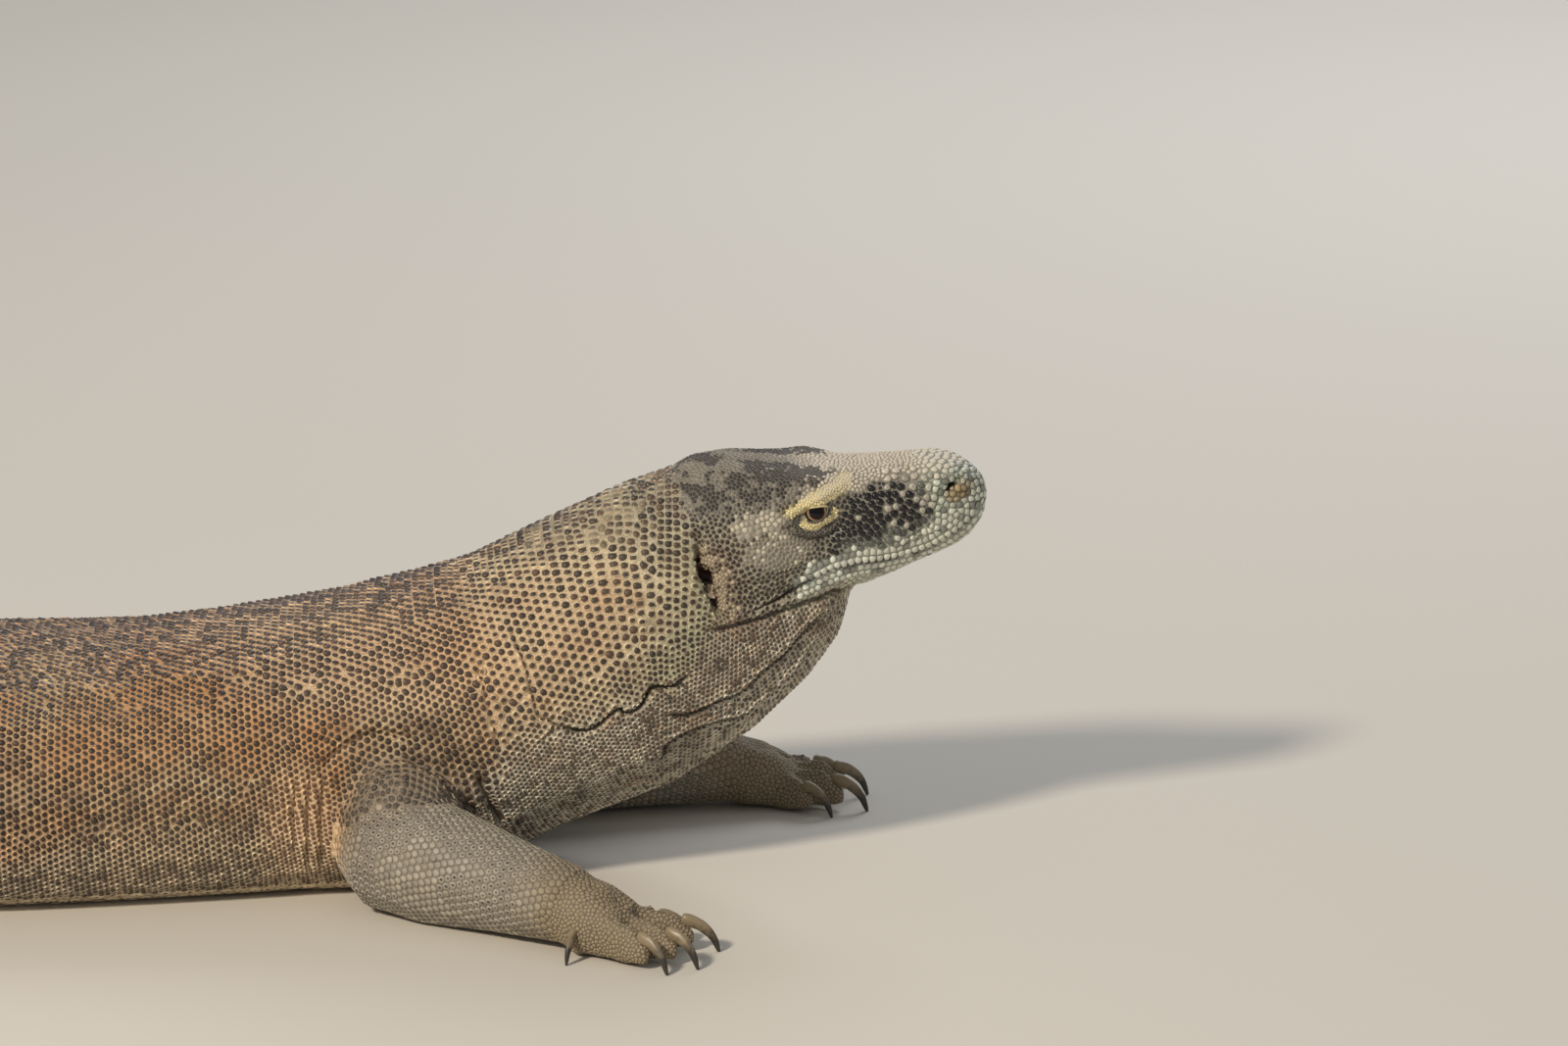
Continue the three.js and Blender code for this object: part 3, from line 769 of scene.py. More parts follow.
def spaced_along(ring, pitch, first):
    """Places every pitch mm along the unbroken stretches of an outline."""
    length = np.linalg.norm(np.diff(ring[:, :3], axis=0), axis=1)
    whole = (ring[1:, 3] > 0) & (ring[:-1, 3] > 0) & (length < LONGEST_STEP)
    length = np.where(whole, length, 0)
    round_it = np.concatenate([[0], np.cumsum(length)])
    wanted = np.arange(first * pitch * MM, round_it[-1], pitch * MM)
    piece = np.clip(np.searchsorted(round_it, wanted, side="right") - 1, 0, len(length) - 1)
    good = whole[piece]
    share = ((wanted - round_it[piece]) / np.maximum(length[piece], 1e-9))[good, None]
    piece = piece[good]
    return ring[piece, :3] + (ring[piece + 1, :3] - ring[piece, :3]) * share


def rows_round(hide, axis, pitch, names):
    """Places in rows round an axis, half a scale out of step from row to row.

    Each row starts on the upper midline and is measured round the hide, so its scales keep their
    size as the body swells, and only the rows that meet underneath are out of order."""
    steps = np.linalg.norm(np.diff(axis, axis=0), axis=1)
    along = np.concatenate([[0], np.cumsum(steps)])
    row_gap = pitch * ROW_SHARE * MM
    stations = np.arange(row_gap / 2, along[-1], row_gap)
    at = np.column_stack([np.interp(stations, along, axis[:, k]) for k in range(3)])
    ahead = np.gradient(at, axis=0)
    ahead /= np.linalg.norm(ahead, axis=1, keepdims=True)
    allowed = set(hide.regions.names.index(n) for n in names)
    places = []
    for number, (start, forward) in enumerate(zip(at, ahead)):
        for turn in (-1, 1):
            ring = half_ring(hide, start, forward, turn, allowed)
            first = 0.5 if number % 2 else (0 if turn > 0 else 1)
            places.append(spaced_along(ring, pitch, first))
    return np.vstack(places)


# ---------------------------------------------------------------- kinds of scale
# size: spacing in mm. rise: height of the crown. collar: how high the outer ring stands, as a share
# of the rise. flat: where the crown's edge is, as a share of the scale. spot: how much of it, from
# its middle, is dark. tilt: how far its free edge stands up. oval: how much longer the crown is
# than wide. gloss: how far it shines. gap: how dark its edge is painted, as shade and grime between
# scales. rim, crown: its two colours.
KINDS = {
    "neck": dict(size=6.6, rise=1.7, collar=0.2, flat=0.62, spot=0.68, tilt=0.25,
        oval=1.3, gloss=0.75, gap=0.1, rim="#E0CFAC", crown="#332B28"),
    "nape": dict(size=5.4, rise=2.1, collar=0.2, flat=0.66, spot=0.76, tilt=0.15,
        oval=1.2, gloss=0.9, gap=0.15, rim="#D3C9AE", crown="#201E1E"),
    "throat": dict(size=3.4, rise=1.05, collar=0.5, flat=0.66, spot=0.72, tilt=0.2,
        oval=1.1, gloss=0.7, gap=0.5, rim="#F6EDD8", crown="#403932"),
    "back": dict(size=6.0, rise=1.6, collar=0.25, flat=0.7, spot=0.8, tilt=0.5,
        oval=1.3, gloss=0.7, gap=0.15, rim="#D6B08C", crown="#2B2425"),
    "flank": dict(size=5.3, rise=1.3, collar=0.25, flat=0.7, spot=0.78, tilt=0.3,
        oval=1.05, gloss=0.65, gap=0.15, rim="#D2B48C", crown="#2B211C"),
    "belly": dict(size=8.5, rise=0.6, collar=0.5, flat=0.8, spot=0.3, tilt=0.2,
        oval=1.0, gloss=0.3, gap=0.5, rim="#B3A07C", crown="#7C6A52"),
    "tail": dict(size=7.0, rise=1.1, collar=0.3, flat=0.68, spot=0.74, tilt=0.5,
        oval=1.4, gloss=0.55, gap=0.2, rim="#C5A785", crown="#302722"),
    "whip": dict(size=4.6, rise=0.6, collar=0.4, flat=0.68, spot=0.68, tilt=0.4,
        oval=1.4, gloss=0.35, gap=0.2, rim="#B89C7B", crown="#302722"),
    "shoulder": dict(size=4.2, rise=0.95, collar=0.4, flat=0.68, spot=0.76, tilt=0.3,
        oval=1.0, gloss=0.6, gap=0.45, rim="#AD9B85", crown="#332B27"),
    "arm": dict(size=5.4, rise=0.7, collar=0.6, flat=0.84, spot=0.0, tilt=0.3,
        oval=1.5, gloss=0.25, gap=0.5, rim="#A79F90", crown="#3B3B3D"),
    "paw": dict(size=2.7, rise=0.36, collar=0.5, flat=0.76, spot=0.3, tilt=0.2,
        oval=1.0, gloss=0.15, gap=0.5, rim="#A39374", crown="#6E604B"),
    "toe": dict(size=2.4, rise=0.36, collar=0.5, flat=0.76, spot=0.1, tilt=0.3,
        oval=1.0, gloss=0.15, gap=0.55, rim="#AE9D7E", crown="#7A6C56"),
    "crown": dict(size=2.6, rise=0.8, collar=0.5, flat=0.68, spot=0.7, tilt=0.0,
        oval=1.0, gloss=0.5, gap=0.5, rim="#B3AB9A", crown="#393637"),
    "snout": dict(size=4.8, rise=2.0, collar=0.62, flat=0.7, spot=1.0, tilt=0.15,
        oval=1.1, gloss=1.0, gap=0.3, rim="#A9A497", crown="#1C1A1D"),
    "muzzle": dict(size=4.2, rise=0.95, collar=0.62, flat=0.78, spot=0.0, tilt=0.0,
        oval=1.0, gloss=0.9, gap=0.6, rim="#BDC3B3", crown="#7D8278"),
    "lip": dict(size=4.4, rise=1.0, collar=0.62, flat=0.78, spot=0.0, tilt=0.0,
        oval=1.0, gloss=0.9, gap=0.45, rim="#E2E5D6", crown="#6A6A60"),
    "chin": dict(size=3.5, rise=0.65, collar=0.6, flat=0.74, spot=0.1, tilt=0.0,
        oval=1.0, gloss=0.6, gap=0.6, rim="#CBC6AF", crown="#77705E"),
    "cheek": dict(size=3.2, rise=1.15, collar=0.5, flat=0.72, spot=0.82, tilt=0.1,
        oval=1.0, gloss=0.95, gap=0.3, rim="#BFB6A0", crown="#322B28"),
    "jowl": dict(size=2.7, rise=0.6, collar=0.5, flat=0.72, spot=0.6, tilt=0.0,
        oval=1.0, gloss=0.6, gap=0.4, rim="#BDB6A3", crown="#575149"),
    "temple": dict(size=3.6, rise=0.5, collar=0.6, flat=0.86, spot=0.0, tilt=0.0,
        oval=1.0, gloss=0.3, gap=0.5, rim="#BDB49E", crown="#8C8373"),
    "ear": dict(size=2.2, rise=0.45, collar=0.5, flat=0.7, spot=0.2, tilt=0.0,
        oval=1.0, gloss=0.5, gap=0.45, rim="#C9BD9E", crown="#6E5D4C"),
    "lid": dict(size=1.8, rise=0.45, collar=0.5, flat=0.7, spot=0.75, tilt=0.0,
        oval=1.0, gloss=0.6, gap=0.4, rim="#8A8376", crown="#2F2C2A"),
}
KIND_NAMES = list(KINDS)
MOUTH = np.array(sorted(HEAD_FOLDS["mouth"]["line"]))
EAR_SLIT = np.array(HEAD_FOLDS["ear"]["line"])
# The line below which the neck's scales turn small: (x, z) in mm, seen from the side.
GULAR_LINE = np.array([
    (30, 40), (62, 70), (96, 108), (129, 117), (145, 122), (160, 130), (180, 143), (194, 145),
    (208, 155), (216, 178), (232, 190), (300, 215)])


def is_kind(kind, *names):
    return np.isin(kind, [KIND_NAMES.index(name) for name in names])


def above_gular_fold(at):
    return at[:, 2] - np.interp(at[:, 0], GULAR_LINE[:, 0], GULAR_LINE[:, 1])


def above_mouth(face):
    return face[:, 2] - np.interp(face[:, 0], MOUTH[:, 0], MOUTH[:, 1])


def waves(points, reach, seed):
    """Soft noise from about -1 to 1 at each point, with swells of about reach mm."""
    shift = Vector((seed * 17.3, seed * 5.1, seed * 9.7))
    scaled = points / (reach * MM)
    return np.array([noise.noise(Vector(p) + shift) for p in scaled.tolist()]) * 1.6


def body_kinds(points, face, wobble, owned):
    """Each kind of the body, legs and tail and where it grows; a later one lies over the others."""
    at = points / MM
    trunk, neck, tail, paws = owned(TRUNK), owned(NECK), owned(TAIL), owned(PAWS)
    ahead = at[:, 0] > 62 + 0.25 * (150 - at[:, 2]) + 2 * wobble
    toes = from_nearest(points, CLAWS) < 0.8 * TOE_REACH / MM
    return [
        ("back", trunk & (at[:, 2] > 150 + 3 * wobble)),
        ("belly", trunk & (at[:, 2] < 10)),
        ("neck", (neck | trunk) & ahead),
        ("nape", neck & (face[:, 0] > -40 + wobble) & (face[:, 2] > 20)),
        ("throat", (neck | (trunk & (at[:, 0] > 40))) & (above_gular_fold(at) < 0)),
        ("tail", tail),
        ("whip", tail & (at[:, 0] < -1560)),
        ("arm", owned(LOWER_LEGS)),
        ("shoulder", owned(UPPER_LEGS)),
        ("paw", paws),
        ("toe", paws & toes),
    ]


def head_kinds(face, wobble, owned):
    """Each kind of the head and where it grows; a later one lies over the others."""
    x, y, z = face[:, 0], np.abs(face[:, 1]), face[:, 2]
    head = owned(HEAD + EYES)
    over = above_mouth(face)
    temple = (x > 26) & (x < 60 + wobble) & (z > 27 + 0.5 * wobble) & (z < 40) & (y > 24)
    cheekbone = np.hypot((x - 52 - wobble) / 27, (z - 13 - 0.5 * wobble) / 13) < 1
    side = np.hypot((x - 129 - wobble) / 40, (z - 13 - 0.08 * (x - 129) - wobble) / 20) < 1
    eye = np.hypot((x - 81) / 17, (z - 25) / 15) < 1
    yellow = head & (x > 58) & (x < 114) & (z > 14) & (z < 50)
    yellow[yellow] = yellow_skin(face[yellow]) > 0.35
    slit = np.interp(-z, -EAR_SLIT[:, 1], EAR_SLIT[:, 0])
    flap = (x > slit - 1) & (x < slit + 9 + 0.6 * wobble) & (z > -22) & (z < 28)
    return [
        ("cheek", head),
        ("crown", head & (z > 46 - 0.13 * x + 0.4 * wobble)),
        ("temple", head & temple),
        ("jowl", head & cheekbone & (y > 25)),
        ("snout", head & side & (y > 10)),
        ("muzzle", head & (x > 161 + wobble)),
        ("lip", head & (x > 64 + 2 * wobble) & (over > -9) & (over < 13 + wobble)),
        ("chin", (owned(["lower_jaw"]) | (head & (over < 0))) & (over < -9)),
        ("lid", (head & eye & (y > 20)) | yellow),
        ("ear", (head | owned(NECK)) & flap & (y > 20)),
    ]


def kinds_at(hide, points, owner):
    """The kind of scale that grows at each place, as numbers in KIND_NAMES."""
    kind = np.full(len(points), KIND_NAMES.index("flank"))
    face = into_head(points)
    wobble = 4 * waves(points, 24, 1) + 3 * waves(points, 7, 4) + 3 * waves(points, 2.5, 8)

    def owned(names):
        return hide.regions.mask(owner, names)

    body = body_kinds(points, face, wobble, owned)
    for name, where in body + head_kinds(face, wobble, owned):
        kind[where] = KIND_NAMES.index(name)
    return kind


def traits(kind, name):
    """One setting of each scale's kind."""
    return np.array([KINDS[k][name] for k in KIND_NAMES])[kind]


def palette(kind, name):
    """One colour of each scale's kind, as linear RGB."""
    return np.array([hex_colour(KINDS[k][name])[:3] for k in KIND_NAMES])[kind]


def sizes_at(points, kind):
    """The spacing of the scales at each place in mm: their kind's, graded along the body."""
    at = points / MM
    size = traits(kind, "size").astype(float)
    snout = is_kind(kind, "snout")
    size[snout] *= (0.68 + 0.32 * smoothstep(into_head(points)[:, 0], 92, 128))[snout]
    neck = is_kind(kind, "neck")
    fold = 0.68 + 0.34 * smoothstep(above_gular_fold(at), 0, 60)
    ear = 1 - 0.22 * smoothstep(at[:, 0], 150, 215)
    size[neck] *= (fold * ear)[neck]
    flank = is_kind(kind, "flank")
    low = 0.8 + 0.2 * smoothstep(at[:, 2], 20, 90)
    armpit = 1 - 0.26 * np.exp(-(((at[:, 0] + 50) / 45) ** 2 + ((at[:, 2] - 55) / 60) ** 2))
    behind = 1 + 0.16 * smoothstep(-at[:, 0], 330, 480)
    arm = is_kind(kind, "arm")
    size[arm] *= (0.6 + 0.4 * smoothstep(from_nearest(points, PAWS), 35, 100))[arm]
    size[flank] *= (low * armpit * behind)[flank]
    return size


# ---------------------------------------------------------------- placing the scales
CROWDED = 0.88  # nearer than this share of its spacing, a scale gives way to an earlier one,
CROWDED_ROWS = 0.72  # and nearer than this if both were laid in rows
EVEN_GAP = 1.04  # neighbours push each other off up to this share of their spacing,
PUSH_STEP = 0.33  # by this share of it each time
LIP_ROWS = ((3.6, 4.9), (8.4, 4.6), (-3.7, 4.9), (-8.2, 4.4))  # height over the mouth, gap: mm
CROWD = 8  # loose places tried for each scale that finds room
ROW_PITCHES = (3.4, 4.4, 5.4, 6.3, 7.2)  # mm between scales of the rows laid round the body
ROW_MATCH = 0.16  # how far, as a logarithm, a row's pitch may be from a scale's own spacing
BARE_GROOVE = 0.6  # how deep in a fold, from 0 to 1, the hide is bare


def thin_out(points, size, first):
    """Keeps points in order, dropping each that lies too near one already kept.

    The first so many were laid in rows and may stand closer than the rest."""
    tree = kdtree.KDTree(len(points))
    for index, place in enumerate(points.tolist()):
        tree.insert(place, index)
    tree.balance()
    alive = np.ones(len(points), bool)
    for index, place in enumerate(points.tolist()):
        if not alive[index]:
            continue
        for _, other, far in tree.find_range(place, size[index] * CROWDED * MM):
            if other > index and (other >= first or far < size[index] * CROWDED_ROWS * MM):
                alive[other] = False
    return alive


def neighbours(points, count):
    """The offsets to each point's nearest neighbours, as an array (points, count, 3)."""
    tree = kdtree.KDTree(len(points))
    places = points.tolist()
    for index, place in enumerate(places):
        tree.insert(place, index)
    tree.balance()
    near = [[found[1] for found in tree.find_n(place, count + 1)] for place in places]
    near = np.array(near)[:, 1:]
    return points[near] - points[:, None], near


def spread_out(hide, points, faces, size, rounds):
    """Evens the gaps by pushing neighbours apart along the hide, a little at a time."""
    for _ in range(rounds):
        offset, near = neighbours(points, 7)
        far = np.linalg.norm(offset, axis=2)
        ideal = (size[:, None] + size[near]) / 2 * MM
        push = np.clip(EVEN_GAP - far / ideal, 0, 0.5)
        step = -(offset / np.maximum(far, 1e-9)[:, :, None] * push[:, :, None]).sum(1)
        points = points + step * size[:, None] * PUSH_STEP * MM
        points, faces = hide.nearest(points)
    return points, faces


def lip_rows(hide):
    """Places in rows along the upper and lower lip, on both sides."""
    rows = []
    for rise, step in LIP_ROWS:
        line = MOUTH[MOUTH[:, 0] > 55]
        along = np.arange(58, 194, step)
        for side in (-1, 1):
            for x in along:
                z = np.interp(x, line[:, 0], line[:, 1]) + rise
                start = HEAD_ORIGIN + HEAD_AXES @ (Vector((x, 90 * side, z)) * MM)
                hit = hide.tree.ray_cast(start, HEAD_AXES @ Vector((0, -side, 0)))[0]
                if hit is not None:
                    rows.append(hit[:])
    return np.array(rows)


def laid_rows(hide):
    """Places in rows: along the lips, round the body where the pitch suits, and round the legs."""
    rows = [lip_rows(hide)]
    axis = body_axis(hide)
    for pitch in ROW_PITCHES:
        names = NECK + ["chest"] if pitch < 4 else NECK + TRUNK + TAIL
        some = rows_round(hide, axis, pitch, names)
        some, faces = hide.nearest(some)
        size = sizes_at(some, kinds_at(hide, some, hide.owner[faces]))
        ratio = np.abs(np.log(size[:, None] / np.array(ROW_PITCHES)))
        own = ratio.argmin(1) == ROW_PITCHES.index(pitch)
        rows.append(some[own & (ratio.min(1) < ROW_MATCH)])
    for name in LOWER_LEGS + UPPER_LEGS:
        rows.append(rows_round(hide, node_axis(name), KINDS["arm"]["size"], [name]))
    return np.vstack(rows)


def scale_places(hide, rng):
    """Every scale's root, its triangle of the hide, its kind and its spacing."""
    rows, faces = hide.nearest(laid_rows(hide))
    centres = hide.points[hide.triangles].mean(1)
    own = sizes_at(centres, kinds_at(hide, centres, hide.owner))
    loose, loose_faces = hide.scattered(CROWD / (ROW_SHARE * own**2), rng)
    order = rng.permutation(len(loose))
    points = np.vstack([rows, loose[order]])
    faces = np.concatenate([faces, loose_faces[order]])
    size = sizes_at(points, kinds_at(hide, points, hide.owner[faces]))
    alive = thin_out(points, size, len(rows))
    points, faces, size = points[alive], faces[alive], size[alive]
    points, faces = spread_out(hide, points, faces, size, 6)
    kind = kinds_at(hide, points, hide.owner[faces])
    return points, faces, kind, sizes_at(points, kind)


def bare_places(hide, points, faces):
    """Where no scale grows: in the depth of the folds, the nostrils, the ears and the eyes."""
    groove = hide.groove[hide.triangles[faces]].mean(1)
    face = into_head(points)
    upper, lower, between = opening_edges(face[:, 0])
    open_eye = between & (face[:, 2] < upper + LID_THICKNESS)
    open_eye &= (face[:, 2] > lower - LID_THICKNESS) & (np.abs(face[:, 1]) > 20)
    return (groove > BARE_GROOVE) | (open_eye & near_eyes(points, 17))


# ---------------------------------------------------------------- markings
# Patches of rust in the model's frame, in mm: middle (x, z), half length and height, and slope.
RUST = [
    (-165, 128, 100, 34, 0.25), (-262, 128, 34, 16, 0.0), (-48, 70, 26, 50, 0.0),
    (50, 168, 44, 26, -0.2), (-70, 118, 60, 26, 0.1), (-240, 60, 40, 22, 0.3),
]
# Yellow skin over and under the eye, in the head's frame: lines of (x, z) and how wide they are.
YELLOW = [
    ([(64, 34.5), (71, 35), (80, 38), (89, 40), (98, 40.5), (105, 39)], 3.8),
    ([(90, 37.5), (98, 38.5), (106, 40)], 6.2),
    ([(66, 31.5), (76, 33.4), (86, 35.4), (93, 36)], 2.2),
    ([(72, 23.5), (76, 20), (84, 19)], 2.8),
    ([(88, 21), (93, 21.5), (95, 25)], 2.8),
]
# How many scales' widths one part's colours run into the next: on limbs, body and head.
LIMB_BLEND = 7
BODY_BLEND = 4
HEAD_BLEND = 2


def patch(at, middle_x, middle_z, half_length, half_height, slope):
    """1 inside a soft-edged patch of the side, 0 outside."""
    along = at[:, 0] - middle_x
    up = at[:, 2] - middle_z - slope * along
    return 1 - smoothstep(np.hypot(along / half_length, up / half_height), 0.55, 1.15)


def mixed(base, colour, share):
    """The base colours mixed with one colour, by each place's share."""
    return base + (np.array(hex_colour(colour)[:3]) - base) * share[:, None]


def run_together(values, near, where, rounds):
    """One region's values blurred into the next, about one scale further with each round."""
    for _ in range(rounds):
        blurred = (values + values[near].sum(1)) / (1 + near.shape[1])
        values = np.where(where[:, None], blurred, values)
    return values


def yellow_skin(face):
    """How yellow the skin is by the eye, from 0 to 1."""
    yellow = np.zeros(len(face))
    side_on = np.column_stack([face[:, 0], face[:, 2], np.zeros(len(face))])
    for line, width in YELLOW:
        flat = curve_through([(*p, 0.0) for p in line], 0.8)
        far = distance_to(flat, side_on)[0]
        yellow = np.maximum(yellow, 1 - smoothstep(far, 0.55 * width, width))
    return yellow * (np.abs(face[:, 1]) > 18)


class Paint:
    """The rim and crown colour of every scale, and the washes laid over them."""

    def __init__(self, rim, crown):
        self.rim = rim
        self.crown = crown

    def wash(self, share, rim=None, crown=None):
        """Mixes a (colour, strength) into the rims, the crowns or both, by each scale's share."""
        if rim:
            self.rim = mixed(self.rim, rim[0], rim[1] * share)
        if crown:
            self.crown = mixed(self.crown, crown[0], crown[1] * share)


def survey(hide, coat):
    """What the markings go by: each scale's place, its part of the body and soft noises there."""
    points, owner, near, lot = (coat[key] for key in ("points", "owner", "near", "lot"))
    face = into_head(points)
    head = hide.regions.mask(owner, HEAD + EYES)
    limb = hide.regions.mask(owner, UPPER_LEGS + LOWER_LEGS + PAWS) * 1.0
    limb = run_together(limb[:, None], near, ~head, LIMB_BLEND)[:, 0]
    return SimpleNamespace(
        points=points, owner=owner, near=near, kind=coat["kind"], at=points / MM,
        face=face, x=face[:, 0], z=face[:, 2],
        head=head, limb=limb, body=(1 - head) * (1 - limb),
        broad=waves(points, 90, 2), fine=waves(points, 28, 3), small=waves(points, 11, 5),
        lot=lot, other=(lot * 7.31) % 1.0,
    )


def wash_each(paint, here):
    """No two scales alike: some rims cream, some tan or pink, and some crowns brown."""
    body, lot, small = here.body, here.lot, here.small
    paint.wash(body * smoothstep(here.other + 0.5 * small, 0.6, 1.1), rim=("#EBDDB9", 0.6))
    paint.wash(body * smoothstep(lot + 0.6 * here.fine, 0.75, 1.2), rim=("#B98A63", 0.6))
    paint.wash(body * smoothstep(lot - 0.5 * small, 0.85, 1.2), rim=("#6F5C4C", 0.7))
    paint.wash(body * here.other**2, crown=("#6B4F3D", 0.6))


def wash_sides(paint, here):
    """Rust patches along the side, and soft grey clouds between them."""
    at, fine, small = here.at, here.fine, here.small
    rust = sum(patch(at, *each) for each in RUST) * (0.8 + 0.35 * fine + 0.2 * small)
    behind = smoothstep(-at[:, 0], 260, 330) + smoothstep(at[:, 1], 0, 30)
    rust += 0.7 * smoothstep(here.broad + 0.5 * fine, 0.15, 0.6) * np.clip(behind, 0, 1)
    rust = np.clip(rust, 0, 1) * ~here.head * (1 - 0.5 * here.limb)
    paint.wash(rust * (0.55 + 0.45 * here.lot), rim=("#D89F66", 0.9))
    paint.wash(rust, crown=("#2E1F17", 0.5))
    grey = smoothstep(-here.broad - 0.4 * small, -0.1, 0.5) * (1 - rust)
    paint.wash(here.body * grey, rim=("#A8977F", 0.45))


def wash_front(paint, here):
    """The pink armpit, the warm neck that turns green towards the ear, the pale back, and painted light
    low on the body.
    """
    at, body, small = here.at, here.body, here.small
    neck = body * (at[:, 0] > 55)
    armpit = patch(at, -58, 55, 30, 52, 0.0) * body
    paint.wash(armpit, rim=("#F2D2A8", 0.9), crown=("#7E5A42", 0.7))
    warm = patch(at, 92, 165, 85, 62, 0.35) * neck
    paint.wash(warm * np.clip(0.8 + 0.3 * here.fine, 0, 1), rim=("#DDBC95", 0.75))
    green = neck * smoothstep(at[:, 0] - 0.35 * (at[:, 2] - 180) + 10 * small, 165, 215)
    green *= smoothstep(above_gular_fold(at), -6, 12)
    paint.wash(green, rim=("#BDBD9C", 0.7))
    paint.wash(patch(at, -50, 185, 120, 26, 0.12) * body, rim=("#E3C4A2", 0.6))
    back = patch(at, 0, 162, 125, 36, 0.0) * body
    paint.wash(back, rim=("#F3D6AE", 0.5), crown=("#5E4F45", 0.35))
    paint.wash(nape(here), rim=("#75726A", 0.3))
    # painted light: rims lighter low on the body, where it faces away from the lamps, with darker
    # crowns there
    low = body * smoothstep(-at[:, 2], -75, -15) * smoothstep(-at[:, 0], -60, 0)
    paint.wash(low, rim=("#EDE3CB", 0.45), crown=("#4A4138", 0.4))


def nape(here):
    """How far each scale is on the nape, from 0 to 1."""
    high = smoothstep(here.z, 38, 50) * smoothstep(-here.x, 5, 25)
    return high * smoothstep(here.at[:, 0], 60, 120) * here.body


def wash_limbs(paint, here, hide):
    """Upper legs are brown and dark, and shade into the pale grey plates of the lower ones."""
    for side in SIDES:
        for upper, lower in (("upper_arm", "forearm"), ("thigh", "shank")):
            far = from_nearest(here.points, [f"{lower}_{side}"])
            mine = hide.regions.mask(here.owner, [f"{upper}_{side}", f"{lower}_{side}"]) * 1.0
            mine = run_together(mine[:, None], here.near, ~here.head, LIMB_BLEND)[:, 0]
            above = smoothstep(far, 45, 85) * mine * smoothstep(here.at[:, 2], 30, 60)
            paint.wash(above, rim=("#85745F", 0.35), crown=("#2F2824", 0.5))


def wash_head(paint, here):
    """Pale green-grey plates in front and on the lips, an ochre nostril, and yellow by the eye."""
    x, z, head, small = here.x, here.z, here.head, here.small
    pale = head * smoothstep(x + 6 * small, 152, 166)
    paint.wash(pale, rim=("#BFC4B4", 0.6), crown=("#98A093", 0.9))
    over = above_mouth(here.face) + 6 * small
    lips = head * smoothstep(x, 88, 104) * (1 - smoothstep(over, 14, 24))
    paint.wash(lips, rim=("#D6D8C6", 0.7), crown=("#8C9086", 0.6))
    ochre = head * (1 - smoothstep(np.hypot((x - 180) / 11, (z - 11) / 7), 0.5, 1.2))
    paint.wash(ochre, rim=("#A88C5C", 0.8), crown=("#7F6A45", 0.8))
    # the back of the cheek is darker and redder
    back = head * smoothstep(-x - 4 * small, -32, -8) * (1 - smoothstep(z, 22, 34))
    paint.wash(back, rim=("#8D7361", 0.5), crown=("#33231E", 0.6))
    yellow = head * yellow_skin(here.face)
    paint.wash(yellow, rim=("#F0E2AE", 0.97), crown=("#E2D09B", 0.97))


def bare_granules(here):
    """Which scales stand dark and clean through the sand on the head's top."""
    x, z, small = here.x, here.z, here.small
    ahead = x + 8 * small
    ridge = smoothstep(ahead, 8, 46) * (1 - smoothstep(ahead, 82, 122))
    ridge *= smoothstep(np.abs(here.face[:, 1]) + 4 * small, 5, 20)
    ridge *= smoothstep(z + 2 * small, 40, 50)
    behind = smoothstep(here.fine + small, -0.5, 0.9)
    behind *= (1 - smoothstep(x, 10, 50)) * smoothstep(z, 30, 42)
    cover = np.clip(1.5 * np.maximum(ridge, behind) * (0.7 + 0.5 * small), 0, 1)
    return here.head * smoothstep(cover, 0.9 * here.other, 0.9 * here.other + 0.2)


def settle_dust(paint, here):
    """Sand on the head's top, on the temples and paws, and a little in the coat."""
    x, limb, small = here.x, here.limb, here.small
    flat_top = smoothstep(here.z + 0.13 * x + 3 * small, 46, 52)
    sand = here.head * flat_top * (0.25 + 0.75 * smoothstep(x + 8 * small, 60, 92))
    granules = bare_granules(here)
    sand *= 1 - 0.9 * granules
    paint.wash(granules, rim=("#5F5B55", 0.7), crown=("#1D1B1D", 0.9))
    sand += 0.45 * is_kind(here.kind, "temple") + 0.25 * is_kind(here.kind, "jowl")
    paw = limb * (1 - smoothstep(from_nearest(here.points, PAWS) + 9 * small, 42, 82))
    sand += limb * (0.12 + 0.12 * here.fine) + 0.4 * paw
    paint.wash(paw, rim=("#83745D", 0.85), crown=("#5E513F", 0.6))
    sand += here.body * 0.06 * (1 + here.broad)
    sand += 0.55 * nape(here) * smoothstep(here.fine + small, 0.0, 0.5)
    return np.clip(sand, 0, 1)


def spots(here, near, soft, rim):
    """How much of each scale is dark, and the odd dark plates among the pale ones."""
    kind, lot, x = here.kind, here.lot, here.x
    body = ~here.head
    spot = traits(kind, "spot").astype(float)
    chance = run_together(spot[:, None], near, soft, HEAD_BLEND)[:, 0]
    spot[soft] = np.where(chance > 0.1 + 0.6 * lot, 0.78, 0.0)[soft]
    # dark plates among the pale ones of the lips, and dark dots on the upper side of the forearm
    rare = 0.12 + 0.2 * (1 - smoothstep(x, 62, 92))
    odd = lot < np.where(is_kind(kind, "lip"), rare, 0.0)
    odd |= is_kind(kind, "muzzle") & (lot < 0.15)
    rim[odd] = rim[odd] * 0.5
    arm = is_kind(kind, "arm") & (waves(here.points, 30, 6) > -0.15)
    spot[arm] = 0.3 + 0.16 * lot[arm]
    vary = 0.26 * ((lot * 5.77) % 1.0 - 0.5) * (spot > 0)
    spot[body] += vary[body]
    spot[body & (lot > 0.93) & (spot > 0.5) & ~is_kind(kind, "arm")] = 1.0
    spot[is_kind(kind, "snout") & (lot > 0.94 - 0.5 * smoothstep(x, 128, 168))] = 0.1
    spot[here.head * yellow_skin(here.face) > 0.4] = 0.0
    return spot


